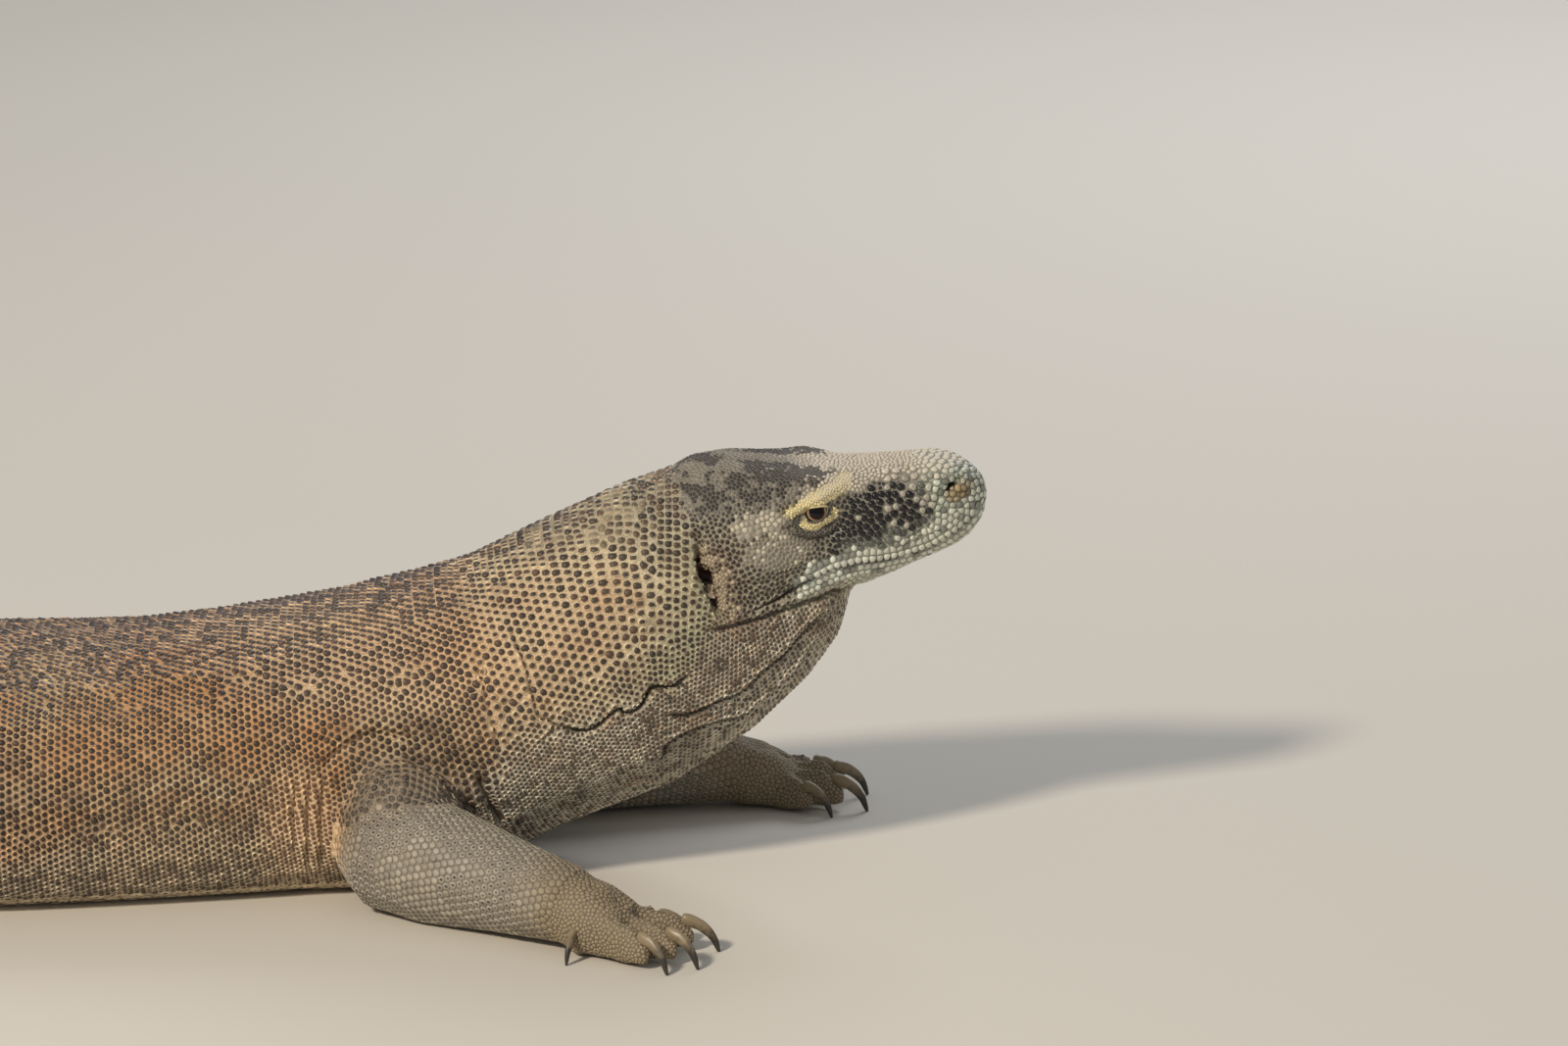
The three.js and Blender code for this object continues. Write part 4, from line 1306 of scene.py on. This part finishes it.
def coat_marks(hide, coat):
    """Adds each scale's colours, spot, dust, painted edge shade and grime, and random number to the
    coat's arrays.
    """
    kind, near = coat["kind"], coat["near"]
    coat["lot"] = (np.sin(np.arange(len(kind)) * 12.9898) * 43758.5453) % 1.0
    here = survey(hide, coat)
    body = ~here.head
    soft = is_kind(kind, "cheek", "jowl", "temple", "crown", "ear")
    paint = Paint(*(
        run_together(run_together(palette(kind, each), near, body, BODY_BLEND), near, soft, HEAD_BLEND)
        for each in ("rim", "crown")
    ))
    wash_each(paint, here)
    wash_sides(paint, here)
    wash_front(paint, here)
    wash_limbs(paint, here, hide)
    wash_head(paint, here)
    dust = settle_dust(paint, here)
    # the painted shade and grime along each scale's edge, run from one part of the body into the next
    edge = run_together(traits(kind, "gap").astype(float)[:, None], near, body, BODY_BLEND)
    coat.update(
        dust=dust, gap=edge[:, 0], spot=spots(here, near, soft, paint.rim),
        rim_colour=paint.rim, crown_colour=paint.crown,
    )


# ---------------------------------------------------------------- the scales' meshes
# The coat's 49,000 domes are laid out as arrays, because each fits a cell of its own and there are
# too many to model one by one.
# Each piece of the coat: the solids it grows on, a scale's corners, its raised rings and its slot.
PIECES = {
    "scales_head": (["head", *EYES], 7, 2, "hide_head"),
    "scales_jaw": (["lower_jaw"], 7, 2, "hide_head"),
    "scales_neck": (["neck"], 7, 2, "hide_neck"),
    "scales_throat": (["throat"], 7, 2, "hide_neck"),
    "scales_chest": (["chest"], 7, 1, "hide_trunk"),
    "scales_belly": (["belly"], 7, 1, "hide_trunk"),
    "scales_pelvis": (["pelvis"], 6, 1, "hide_trunk"),
    "scales_tail": (TAIL, 6, 1, "hide_trunk"),
    "scales_forelegs": (
        [f"{part}_{side}" for part in ("upper_arm", "forearm", "hand") for side in SIDES],
        7, 1, "hide_limb",
    ),
    "scales_hind_legs": (
        [f"{part}_{side}" for part in ("thigh", "shank") for side in SIDES],
        6, 1, "hide_limb",
    ),
    "scales_feet": (["foot_right", "foot_left"], 6, 1, "hide_limb"),
}
PATCH = 0.0015  # half the width of a scale's place on the baking map
CREST = 0.82  # how high the crown's edge stands, as a share of the rise
NARROWEST = 0.28  # a cell reaches at least this share of its scale's spacing,
WIDEST = 0.82  # and at most this


def lie_of(hide, points, owner, axis):
    """The way each scale points: to the tail, the toes or the back of the head."""
    lie = np.tile(np.array(HEAD_AXES @ Vector((-1, 0, 0))), (len(points), 1))
    mine = hide.regions.mask(owner, NECK + TRUNK + TAIL)
    ahead = np.gradient(axis, axis=0)
    order = np.argsort(axis[:, 0])
    for k in range(3):
        lie[mine, k] = np.interp(points[mine, 0], axis[order, 0], ahead[order, k])
    for side in SIDES:
        for chain in (("upper_arm", "forearm", "hand"), ("thigh", "shank", "foot")):
            stops = [middle(f"{part}_{side}") for part in chain]
            stops.append(middle(f"claw_{chain[2]}_{side}_3"))
            for part, start, end in zip(chain, stops, stops[1:]):
                here = hide.regions.mask(owner, [f"{part}_{side}"])
                lie[here] = np.array(end - start)
    return lie


def cell_reach(offset, size, others, rays, lie, side):
    """How far each scale's cell reaches along its rays, in mm: to where its neighbour's begins."""
    flat = np.stack([(offset * lie[:, None]).sum(2), (offset * side[:, None]).sum(2)], 2) / MM
    share = size[:, None] / (size[:, None] + others)
    halfway = (flat**2).sum(2) * share
    toward = np.einsum("njk,nrk->njr", flat, rays)
    reach = np.where(toward > 0.05, halfway[:, :, None] / np.maximum(toward, 1e-6), 1e3).min(1)
    return np.clip(reach, NARROWEST * size[:, None], WIDEST * size[:, None])


def scale_faces(corners, rings):
    """The triangles of one scale: its rings, its top and its closed base."""
    faces = []
    for ring in range(rings - 1):
        for k in range(corners):
            a, b = ring * corners + k, ring * corners + (k + 1) % corners
            faces += [(a, b, b + corners), (a, b + corners, a + corners)]
    last = (rings - 1) * corners
    faces += [(last + k, last + (k + 1) % corners, rings * corners) for k in range(corners)]
    faces += [(0, k + 1, k) for k in range(1, corners - 1)]
    return np.array(faces)


def unwrapped(hide, points, owner, nodes):
    """Each root's place on the piece's map: along its solid's length and round it, in a strip each."""
    u = np.zeros(len(points))
    v = np.zeros(len(points))
    for strip, node in enumerate(nodes):
        mine = hide.regions.mask(owner, [node])
        start, end = node_axis(node)
        along = end - start
        long = np.linalg.norm(along)
        along /= long
        across = np.cross(along, (0, 0, 1.0))
        across /= np.linalg.norm(across)
        over = np.cross(across, along)
        out = points[mine] - start
        turn = np.arctan2(out @ across, out @ over) / (2 * math.pi) + 0.5
        u[mine] = out @ along / long
        v[mine] = (strip + 0.04 + 0.92 * turn) / len(nodes)
    low, high = u.min(), u.max()
    return 0.02 + 0.96 * (u - low) / (high - low), 0.01 + 0.98 * v


def own_axes(here):
    """Each scale's axes along the hide: the way it lies, and to its side."""
    lie, normal = here["lie"], here["normal"]
    lie = lie - (lie * normal).sum(1, keepdims=True) * normal
    lie /= np.maximum(np.linalg.norm(lie, axis=1, keepdims=True), 1e-9)
    return lie, np.cross(normal, lie)


def dome_rings(kind, rise, along, raised):
    """A dome's rings from its base up: their share of its reach, height in mm and crown value."""
    tilt, oval, flat = (traits(kind, key)[:, None] for key in ("tilt", "oval", "flat"))
    whole = np.ones_like(along)
    rings = [(whole, np.full_like(along, -SUNK), np.zeros(len(kind)))]
    if raised == 2:
        collar = rise[:, None] * traits(kind, "collar")[:, None] * whole
        outer = 0.45 + 0.5 * flat
        rings.append((outer * whole, collar, 1 - outer[:, 0]))
    stretch = (1 + (oval - 1) * along**2) / (1 + (oval - 1) / 2)
    crest = rise[:, None] * CREST * (1 + tilt * along)
    rings.append((flat * stretch, crest, 1 - flat[:, 0]))
    return rings


def domes(here, others, corners, raised):
    """Every scale's points as a dome over its own cell, with their crown values and map places."""
    normal, kind, size, lot = (here[key] for key in ("normal", "kind", "size", "lot"))
    lie, side = own_axes(here)
    angle = 2 * math.pi * (np.arange(corners)[None] + lot[:, None]) / corners
    rays = np.stack([np.cos(angle), np.sin(angle)], 2)
    reach = cell_reach(here["offset"], size, others, rays, lie, side) * FILL
    rise = traits(kind, "rise") * (0.85 + 0.3 * lot) * size / traits(kind, "size")
    places, crowns, maps = [], [], []
    for share, height, crown in dome_rings(kind, rise, np.cos(angle), raised):
        spread = reach * share
        out = lie[:, None] * (spread * np.cos(angle))[:, :, None]
        out = out + side[:, None] * (spread * np.sin(angle))[:, :, None]
        places.append(out + normal[:, None] * height[:, :, None])
        crowns.append(np.repeat(crown[:, None], corners, 1))
        maps.append(rays * share[:, :, None])
    tip = lie * (0.2 * traits(kind, "tilt") * size)[:, None] + normal * rise[:, None]
    places.append(tip[:, None])
    crowns.append(np.ones((len(kind), 1)))
    maps.append(np.zeros((len(kind), 1, 2)))
    places = here["points"][:, None] + np.concatenate(places, 1) * MM
    places[:, :, 2] = np.maximum(places[:, :, 2], FLOOR_GAP)
    return places, np.concatenate(crowns, 1), np.concatenate(maps, 1)


def on_baking_map(hide, here, nodes, pattern, corners, maps):
    """Where every corner of every triangle lies on the piece's map, a small patch for each scale."""
    u, v = unwrapped(hide, here["points"], here["owner"], nodes)
    centre = np.column_stack([u, v])[:, None, None]
    placed = centre + PATCH * maps[:, pattern]
    # the hidden base is a small patch beside its own rim
    hidden = slice(len(pattern) - (corners - 2), None)
    edge = 0.9 * maps[:, :1][:, None] + 0.08 * maps[:, pattern[hidden]]
    placed[:, hidden] = centre + PATCH * edge
    return placed


def grow(hide, name, coat):
    """One piece of the coat as a mesh, with what its material reads."""
    nodes, corners, raised, _ = PIECES[name]
    mine = np.where(hide.regions.mask(coat["owner"], nodes))[0]
    here = {key: values[mine] for key, values in coat.items()}
    places, crowns, maps = domes(here, coat["size"][here["near"]], corners, raised)
    pattern = scale_faces(corners, raised + 1)
    each = places.shape[1]
    triangles = pattern[None] + each * np.arange(len(mine))[:, None, None]
    mesh = mesh_of(name, places.reshape(-1, 3), triangles.reshape(-1, 3))
    layer = mesh.uv_layers.new(name="OFBake")
    placed = on_baking_map(hide, here, nodes, pattern, corners, maps)
    layer.uv.foreach_set("vector", placed.astype(np.float32).ravel())
    add_value(mesh, "crown", crowns.ravel())
    for key in ("spot", "dust", "lot", "gap"):
        add_value(mesh, key, np.repeat(here[key], each))
    add_value(mesh, "gloss", np.repeat(traits(here["kind"], "gloss"), each))
    for key in ("rim", "crown"):
        add_colour(mesh, f"{key}_colour", np.repeat(here[f"{key}_colour"], each, 0))
    return mesh


def mesh_of(name, points, triangles):
    mesh = bpy.data.meshes.new(name)
    mesh.vertices.add(len(points))
    mesh.vertices.foreach_set("co", points.astype(np.float32).ravel())
    mesh.loops.add(triangles.size)
    mesh.loops.foreach_set("vertex_index", triangles.astype(np.int32).ravel())
    mesh.polygons.add(len(triangles))
    mesh.polygons.foreach_set("loop_start", np.arange(0, triangles.size, 3, dtype=np.int32))
    mesh.polygons.foreach_set("use_smooth", [True] * len(triangles))
    mesh.update(calc_edges=True)
    return mesh


def add_value(mesh, name, values):
    layer = mesh.attributes.new(name, "FLOAT", "POINT")
    layer.data.foreach_set("value", values.astype(np.float32))


def add_colour(mesh, name, colours):
    layer = mesh.attributes.new(name, "FLOAT_COLOR", "POINT")
    whole = np.column_stack([colours, np.ones(len(colours))])
    layer.data.foreach_set("color", whole.astype(np.float32).ravel())


# ---------------------------------------------------------------- materials
def new_material(name):
    material = bpy.data.materials.new(name)
    material.use_nodes = True
    tree = material.node_tree
    return material, tree, tree.nodes["Principled BSDF"]


def scale_material(name, softness, dust_colour):
    """Grown keratin: a dark waxy crown on a paler matt rim, painted shade and grime at the edges
    between scales, dust on top.

    It gives the eye a small wet glint on each dark crown, and a dull sandy net between them."""
    material, tree, shader = new_material(name)
    crown, spot, lot, dust, gap, gloss = (
        add_node(tree, "ShaderNodeAttribute", attribute_name=each).outputs["Fac"]
        for each in ("crown", "spot", "lot", "dust", "gap", "gloss")
    )
    rim_colour, crown_colour = (
        add_node(tree, "ShaderNodeAttribute", attribute_name=each).outputs["Color"]
        for each in ("rim_colour", "crown_colour")
    )
    place = add_node(tree, "ShaderNodeTexCoord").outputs["Object"]
    grain, specks = (
        add_node(
            tree, "ShaderNodeTexNoise", {"Vector": place, "Scale": 1 / each, "Detail": 3.5}
        ).outputs["Fac"]
        for each in (KERATIN_GRAIN, DUST_SPECKS)
    )
    # the crown's edge wanders with the grain
    wander = add_node(tree, "ShaderNodeMath", {0: grain, 1: 0.25, 2: crown}, operation="MULTIPLY_ADD")
    inward = add_node(tree, "ShaderNodeMath", {0: wander.outputs[0], 1: spot}, operation="ADD")
    dark = add_node(tree, "ShaderNodeMapRange",
        {"Value": inward.outputs[0], "From Min": 1.125 - softness, "From Max": 1.125 + softness},
        interpolation_type="SMOOTHSTEP")
    colour = add_node(tree, "ShaderNodeMix",
        {0: dark.outputs[0], 6: rim_colour, 7: crown_colour}, data_type="RGBA")
    # no two scales are equally light
    shade = add_node(tree, "ShaderNodeMath", {0: lot, 1: 0.44, 2: 0.76}, operation="MULTIPLY_ADD")
    colour = add_node(tree, "ShaderNodeHueSaturation",
        {"Color": colour.outputs[2], "Value": shade.outputs[0]})
    # painted shade and grime darken the edge, in the gap between scales, where dust doesn't cover it
    edge = add_node(tree, "ShaderNodeMapRange",
        {"Value": crown, "From Min": 0.0, "From Max": 0.2, "To Min": 1.0, "To Max": 0.0})
    bare = add_node(tree, "ShaderNodeMath", {0: dust, 1: -0.6, 2: 1.0}, operation="MULTIPLY_ADD")
    edge_shade_and_grime = add_node(tree, "ShaderNodeMath", {0: edge.outputs[0], 1: gap}, operation="MULTIPLY")
    edge_shade_and_grime = add_node(tree, "ShaderNodeMath",
        {0: edge_shade_and_grime.outputs[0], 1: bare.outputs[0]}, operation="MULTIPLY")
    colour = add_node(tree, "ShaderNodeMix",
        {0: edge_shade_and_grime.outputs[0], 6: colour.outputs[0], 7: hex_colour("#2B241E")}, data_type="RGBA")
    # dust settles in specks
    settled = add_node(tree, "ShaderNodeMath", {0: specks, 1: 0.42}, operation="ADD")
    settled = add_node(tree, "ShaderNodeMath", {0: settled.outputs[0], 1: dust}, operation="MULTIPLY")
    colour = add_node(tree, "ShaderNodeMix",
        {0: settled.outputs[0], 6: colour.outputs[2], 7: hex_colour(dust_colour)}, data_type="RGBA")
    tree.links.new(colour.outputs[2], shader.inputs["Base Color"])
    dull = add_node(tree, "ShaderNodeMapRange", {"Value": gloss, "To Min": 0.78, "To Max": 0.26})
    rough = add_node(tree, "ShaderNodeMath",
        {0: settled.outputs[0], 1: 0.3, 2: dull.outputs[0]}, operation="MULTIPLY_ADD")
    tree.links.new(rough.outputs[0], shader.inputs["Roughness"])
    bump = add_node(tree, "ShaderNodeBump", {"Height": grain, "Strength": 0.35, "Distance": 0.2 * MM})
    tree.links.new(bump.outputs[0], shader.inputs["Normal"])
    return material


def hide_material():
    """Living skin between the scales: it gives the eye fine dull grains, with painted shade and dirt in
    the folds and between the scales.
    """
    material, tree, shader = new_material("granular hide")
    place = add_node(tree, "ShaderNodeTexCoord").outputs["Object"]
    skin = add_node(tree, "ShaderNodeAttribute", attribute_name="skin_colour").outputs["Color"]
    grains = add_node(tree, "ShaderNodeTexVoronoi",
        {"Vector": place, "Scale": 1 / SKIN_GRAINS}).outputs["Distance"]
    gap = add_node(tree, "ShaderNodeMapRange",
        {"Value": grains, "From Min": 0.3, "From Max": 0.75, "To Min": 0.0, "To Max": 0.45})
    colour = add_node(tree, "ShaderNodeMix",
        {0: gap.outputs[0], 6: skin, 7: hex_colour("#3A3028")}, data_type="RGBA")
    tree.links.new(colour.outputs[2], shader.inputs["Base Color"])
    shader.inputs["Roughness"].default_value = 0.62
    bump = add_node(tree, "ShaderNodeBump",
        {"Height": grains, "Strength": 0.6, "Distance": 0.35 * MM}, invert=True)
    tree.links.new(bump.outputs[0], shader.inputs["Normal"])
    return material


def eyeball_material():
    """A wet cornea over the iris: it gives the eye a black pupil, a thin orange ring and one glint."""
    material, tree, shader = new_material("wet eyeball")
    off = add_node(tree, "ShaderNodeAttribute", attribute_name="off_gaze").outputs["Fac"]
    ramp = add_node(tree, "ShaderNodeValToRGB", {"Fac": off})
    stops = [(0.0, "#050404"), (0.36, "#070505"), (0.46, "#150C08"), (0.52, "#6B3618"),
        (0.57, "#B59A78"), (0.62, "#7C7468"), (0.70, "#241E1A")]
    elements = ramp.color_ramp.elements
    while len(elements) < len(stops):
        elements.new(0.5)
    for element, (place, code) in zip(elements, stops):
        element.position = place
        element.color = hex_colour(code)
    tree.links.new(ramp.outputs["Color"], shader.inputs["Base Color"])
    shader.inputs["Roughness"].default_value = 0.08
    shader.inputs["IOR"].default_value = 1.38  # a cornea's
    return material


def lid_material():
    """The moist bare skin of the lids' edges: it gives the eye a cream upper and a dark lower rim."""
    material, tree, shader = new_material("moist lid edge")
    skin = add_node(tree, "ShaderNodeAttribute", attribute_name="skin_colour").outputs["Color"]
    place = add_node(tree, "ShaderNodeTexCoord").outputs["Object"]
    grain = add_node(tree, "ShaderNodeTexNoise",
        {"Vector": place, "Scale": 1 / KERATIN_GRAIN, "Detail": 3.0}).outputs["Fac"]
    share = add_node(tree, "ShaderNodeMapRange",
        {"Value": grain, "From Min": 0.4, "From Max": 0.75, "To Min": 0.0, "To Max": 0.5})
    colour = add_node(tree, "ShaderNodeMix",
        {0: share.outputs[0], 6: skin, 7: hex_colour("#2A2320")}, data_type="RGBA")
    tree.links.new(colour.outputs[2], shader.inputs["Base Color"])
    shader.inputs["Roughness"].default_value = 0.35
    return material


def horn_material():
    """Worn claw horn: it gives the eye a dark polished tip and dried mud towards the toe."""
    material, tree, shader = new_material("claw horn")
    place = add_node(tree, "ShaderNodeTexCoord").outputs["Object"]
    root = add_node(tree, "ShaderNodeAttribute", attribute_name="to_root").outputs["Fac"]
    mud, streak = (
        add_node(
            tree, "ShaderNodeTexNoise", {"Vector": place, "Scale": 1 / each, "Detail": 4.0}
        ).outputs["Fac"]
        for each in (MUD_SPOTS, HORN_STREAKS)
    )
    share = add_node(tree, "ShaderNodeMath", {0: mud, 1: root}, operation="ADD")
    dried = add_node(tree, "ShaderNodeMapRange",
        {"Value": share.outputs[0], "From Min": 0.85, "From Max": 1.35, "To Min": 0.0, "To Max": 0.8})
    dark = add_node(tree, "ShaderNodeMix",
        {0: streak, 6: hex_colour("#211E1C"), 7: hex_colour("#4A443C")}, data_type="RGBA")
    colour = add_node(tree, "ShaderNodeMix",
        {0: dried.outputs[0], 6: dark.outputs[2], 7: hex_colour("#9C8B6E")}, data_type="RGBA")
    tree.links.new(colour.outputs[2], shader.inputs["Base Color"])
    shader.inputs["Roughness"].default_value = 0.38
    bump = add_node(tree, "ShaderNodeBump", {"Height": streak, "Strength": 0.3, "Distance": 0.2 * MM})
    tree.links.new(bump.outputs[0], shader.inputs["Normal"])
    return material


# ---------------------------------------------------------------- hide colours, eyes, claws
def colour_hide(mesh, hide, coat):
    """Gives the hide the colours of the scales over it, with painted shade between the scales, and
    painted shade and dirt in the depth of the folds.
    """
    points = vertex_array(mesh)
    tree = kdtree.KDTree(len(coat["points"]))
    for index, place in enumerate(coat["points"].tolist()):
        tree.insert(place, index)
    tree.balance()
    nearest = np.array([tree.find(p)[1] for p in points.tolist()])
    # painted shade and grime: the hide between the scales is darkened by half its nearest scale's edge
    # darkness
    share = 1 - 0.5 * coat["gap"][nearest, None]
    colour = coat["rim_colour"][nearest] * share
    yellow = yellow_skin(into_head(points)) * near_eyes(points, 34)
    colour = mixed(colour, "#E3D39C", 0.9 * yellow)
    # painted shade, with dirt: nearly black in the depth of the sharp creases
    groove = hide.groove
    colour = mixed(colour, "#241B16", np.clip(1.15 * groove**1.5, 0, 0.9))
    ear = np.hypot(*(into_head(points)[:, (0, 2)] - (-1, 7)).T) < 16
    colour = mixed(colour, "#4A2A22", 0.7 * (ear & (groove > 0.3)))
    add_colour(mesh, "skin_colour", colour)


def gaze_turn(side):
    """The turn that takes +Z to where an eye looks: outwards and a little up in the head's frame."""
    out = HEAD_AXES @ Vector((0.0, side * math.cos(GAZE_UP), math.sin(GAZE_UP)))
    return out.to_track_quat("Z", "X").to_matrix().to_4x4()


def put_in_order(bm):
    """Orders a new sphere's faces by their corners, because they come in another order each run."""
    bm.verts.index_update()
    most = 4 * len(bm.verts)

    def rank(face):
        corners = [vertex.index for vertex in face.verts]
        return most * min(corners) + sum(corners)

    bm.faces.sort(key=rank)


def eyeball(name, side):
    """One eyeball as a mesh, with how far each of its vertices is from where it looks."""
    bm = bmesh.new()
    bmesh.ops.create_uvsphere(bm, u_segments=48, v_segments=48, radius=EYE_RADIUS)
    put_in_order(bm)
    mesh = bpy.data.meshes.new(f"ball_{name}")
    bm.to_mesh(mesh)
    bm.free()
    off = np.arccos(np.clip(vertex_array(mesh)[:, 2] / EYE_RADIUS, -1, 1))
    mesh.transform(Matrix.Translation(middle(name)) @ gaze_turn(side))
    mesh.polygons.foreach_set("use_smooth", [True] * len(mesh.polygons))
    add_value(mesh, "off_gaze", off)
    return mesh


def add_eyes():
    """The two eyeballs, and the moist edges of the lids round their openings."""
    wet, moist = eyeball_material(), lid_material()
    for name, side in zip(EYES, (-1, 1)):
        ball = new_object(f"ball_{name}", eyeball(name, side))
        ball.data.materials.append(wet)
        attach(ball, "root")
        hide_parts(name)
        centre = into_head(np.array([middle(name)]))[0]
        rim = new_object(f"lid_{name}", lid_edge(f"lid_{name}", centre, side))
        rim.data.materials.append(moist)
        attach(rim, "root")


def lid_edge(name, centre, side):
    """A slim roll of skin along the edge of one eye's opening, as a mesh."""
    turns = np.arange(0, 2 * math.pi, math.pi / 40)
    half = (EYE_OPENING["front"] - EYE_OPENING["back"]) / 2
    x = EYE_OPENING["back"] + half * (1 - np.cos(turns))
    upper, lower, _ = opening_edges(np.clip(x, EYE_OPENING["back"] + 1e-3, EYE_OPENING["front"] - 1e-3))
    z = np.where(turns < math.pi, upper, lower)
    out = EYE_RADIUS / MM + 0.62 * LID_THICKNESS
    y = np.sqrt(np.maximum(out**2 - (x - centre[0]) ** 2 - (z - centre[2]) ** 2, 1))
    curve = bpy.data.curves.new(name, "CURVE")
    curve.dimensions = "3D"
    curve.bevel_depth = LID_ROLL
    curve.bevel_resolution = 4
    spline = curve.splines.new("POLY")
    spline.points.add(len(turns) - 1)
    spline.use_cyclic_u = True
    for point, place in zip(spline.points, np.column_stack([x, centre[1] + side * y, z])):
        world = HEAD_ORIGIN + HEAD_AXES @ (Vector(place) * MM)
        point.co = (*world, 1.0)
    made = new_object(name, curve)
    graph = bpy.context.evaluated_depsgraph_get()
    mesh = bpy.data.meshes.new_from_object(made.evaluated_get(graph))
    bpy.data.objects.remove(made)
    mesh.name = name
    face = into_head(vertex_array(mesh))
    above = smoothstep(face[:, 2], EYE_OPENING["level"] - 1, EYE_OPENING["level"] + 2)
    colour = np.tile(np.array(hex_colour("#453D37")[:3]), (len(face), 1))
    add_colour(mesh, "skin_colour", mixed(colour, "#D9C796", above))
    return mesh


def add_claws():
    """Smooth horns in place of the faceted claws."""
    horn = horn_material()
    for name in CLAWS:
        bm = node_bmesh(name)
        for vertex in bm.verts:
            vertex.co += vertex.normal * CLAW_FULLER
        mesh = bpy.data.meshes.new(f"horn_{name}")
        bm.to_mesh(mesh)
        bm.free()
        base = new_object(f"horn_{name}", mesh)
        smooth = base.modifiers.new("rounded", "SUBSURF")
        smooth.levels = 2
        smooth.render_levels = 2
        graph = bpy.context.evaluated_depsgraph_get()
        made = bpy.data.meshes.new_from_object(base.evaluated_get(graph))
        bpy.data.objects.remove(base)
        points = vertex_array(made)
        points[:, 2] = np.maximum(points[:, 2], FLOOR_GAP)
        set_vertices(made, points)
        made.polygons.foreach_set("use_smooth", [True] * len(made.polygons))
        add_value(made, "to_root", smoothstep(points[:, 2], points[:, 2].min(), points[:, 2].max()))
        made.materials.append(horn)
        piece = new_object(f"horn_{name}", made)
        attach(piece, "root")
        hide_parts(name)


# ---------------------------------------------------------------- the whole model
def lay_coat(hide):
    """Every scale's root with what its mesh and its colours are made from, as arrays."""
    points, faces, kind, size = scale_places(hide, np.random.default_rng(SEED))
    kept = ~bare_places(hide, points, faces)
    points, faces, kind, size = (values[kept] for values in (points, faces, kind, size))
    offset, near = neighbours(points, CELL_NEIGHBOURS)
    owner = hide.owner[faces]
    coat = dict(points=points, owner=owner, kind=kind, size=size, offset=offset, near=near)
    coat["normal"] = hide.normal_at(points, faces)
    coat["lie"] = lie_of(hide, points, owner, body_axis(hide))
    coat_marks(hide, coat)
    return coat


def add_coat(hide, coat):
    """The coat's pieces, each with the look of its part of the body."""
    looks = {
        "hide_trunk": scale_material("keeled body scales", 0.08, "#A89A82"),
        "hide_neck": scale_material("bossed neck scales", 0.07, "#B0A083"),
        "hide_head": scale_material("glossy head scales", 0.10, "#D6CDBC"),
        "hide_limb": scale_material("dusty limb scales", 0.12, "#AC9E84"),
    }
    for name, (*_, slot) in PIECES.items():
        piece = new_object(name, grow(hide, name, coat))
        piece.data.materials.append(looks[slot])
        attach(piece, "root")


def add_hide(mesh, hide, coat):
    """The bare skin under the scales, in place of every solid of flesh."""
    skin = new_object("hide", mesh)
    mesh.polygons.foreach_set("use_smooth", [True] * len(mesh.polygons))
    colour_hide(mesh, hide, coat)
    mesh.materials.append(hide_material())
    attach(skin, "root")
    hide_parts(*FLESH)


add_camera()
add_floor()
add_light()
hide_mesh, regions, groove = build_hide()
hide = Hide(hide_mesh, regions, groove)
coat = lay_coat(hide)
add_coat(hide, coat)
add_hide(hide_mesh, hide, coat)
add_eyes()
add_claws()
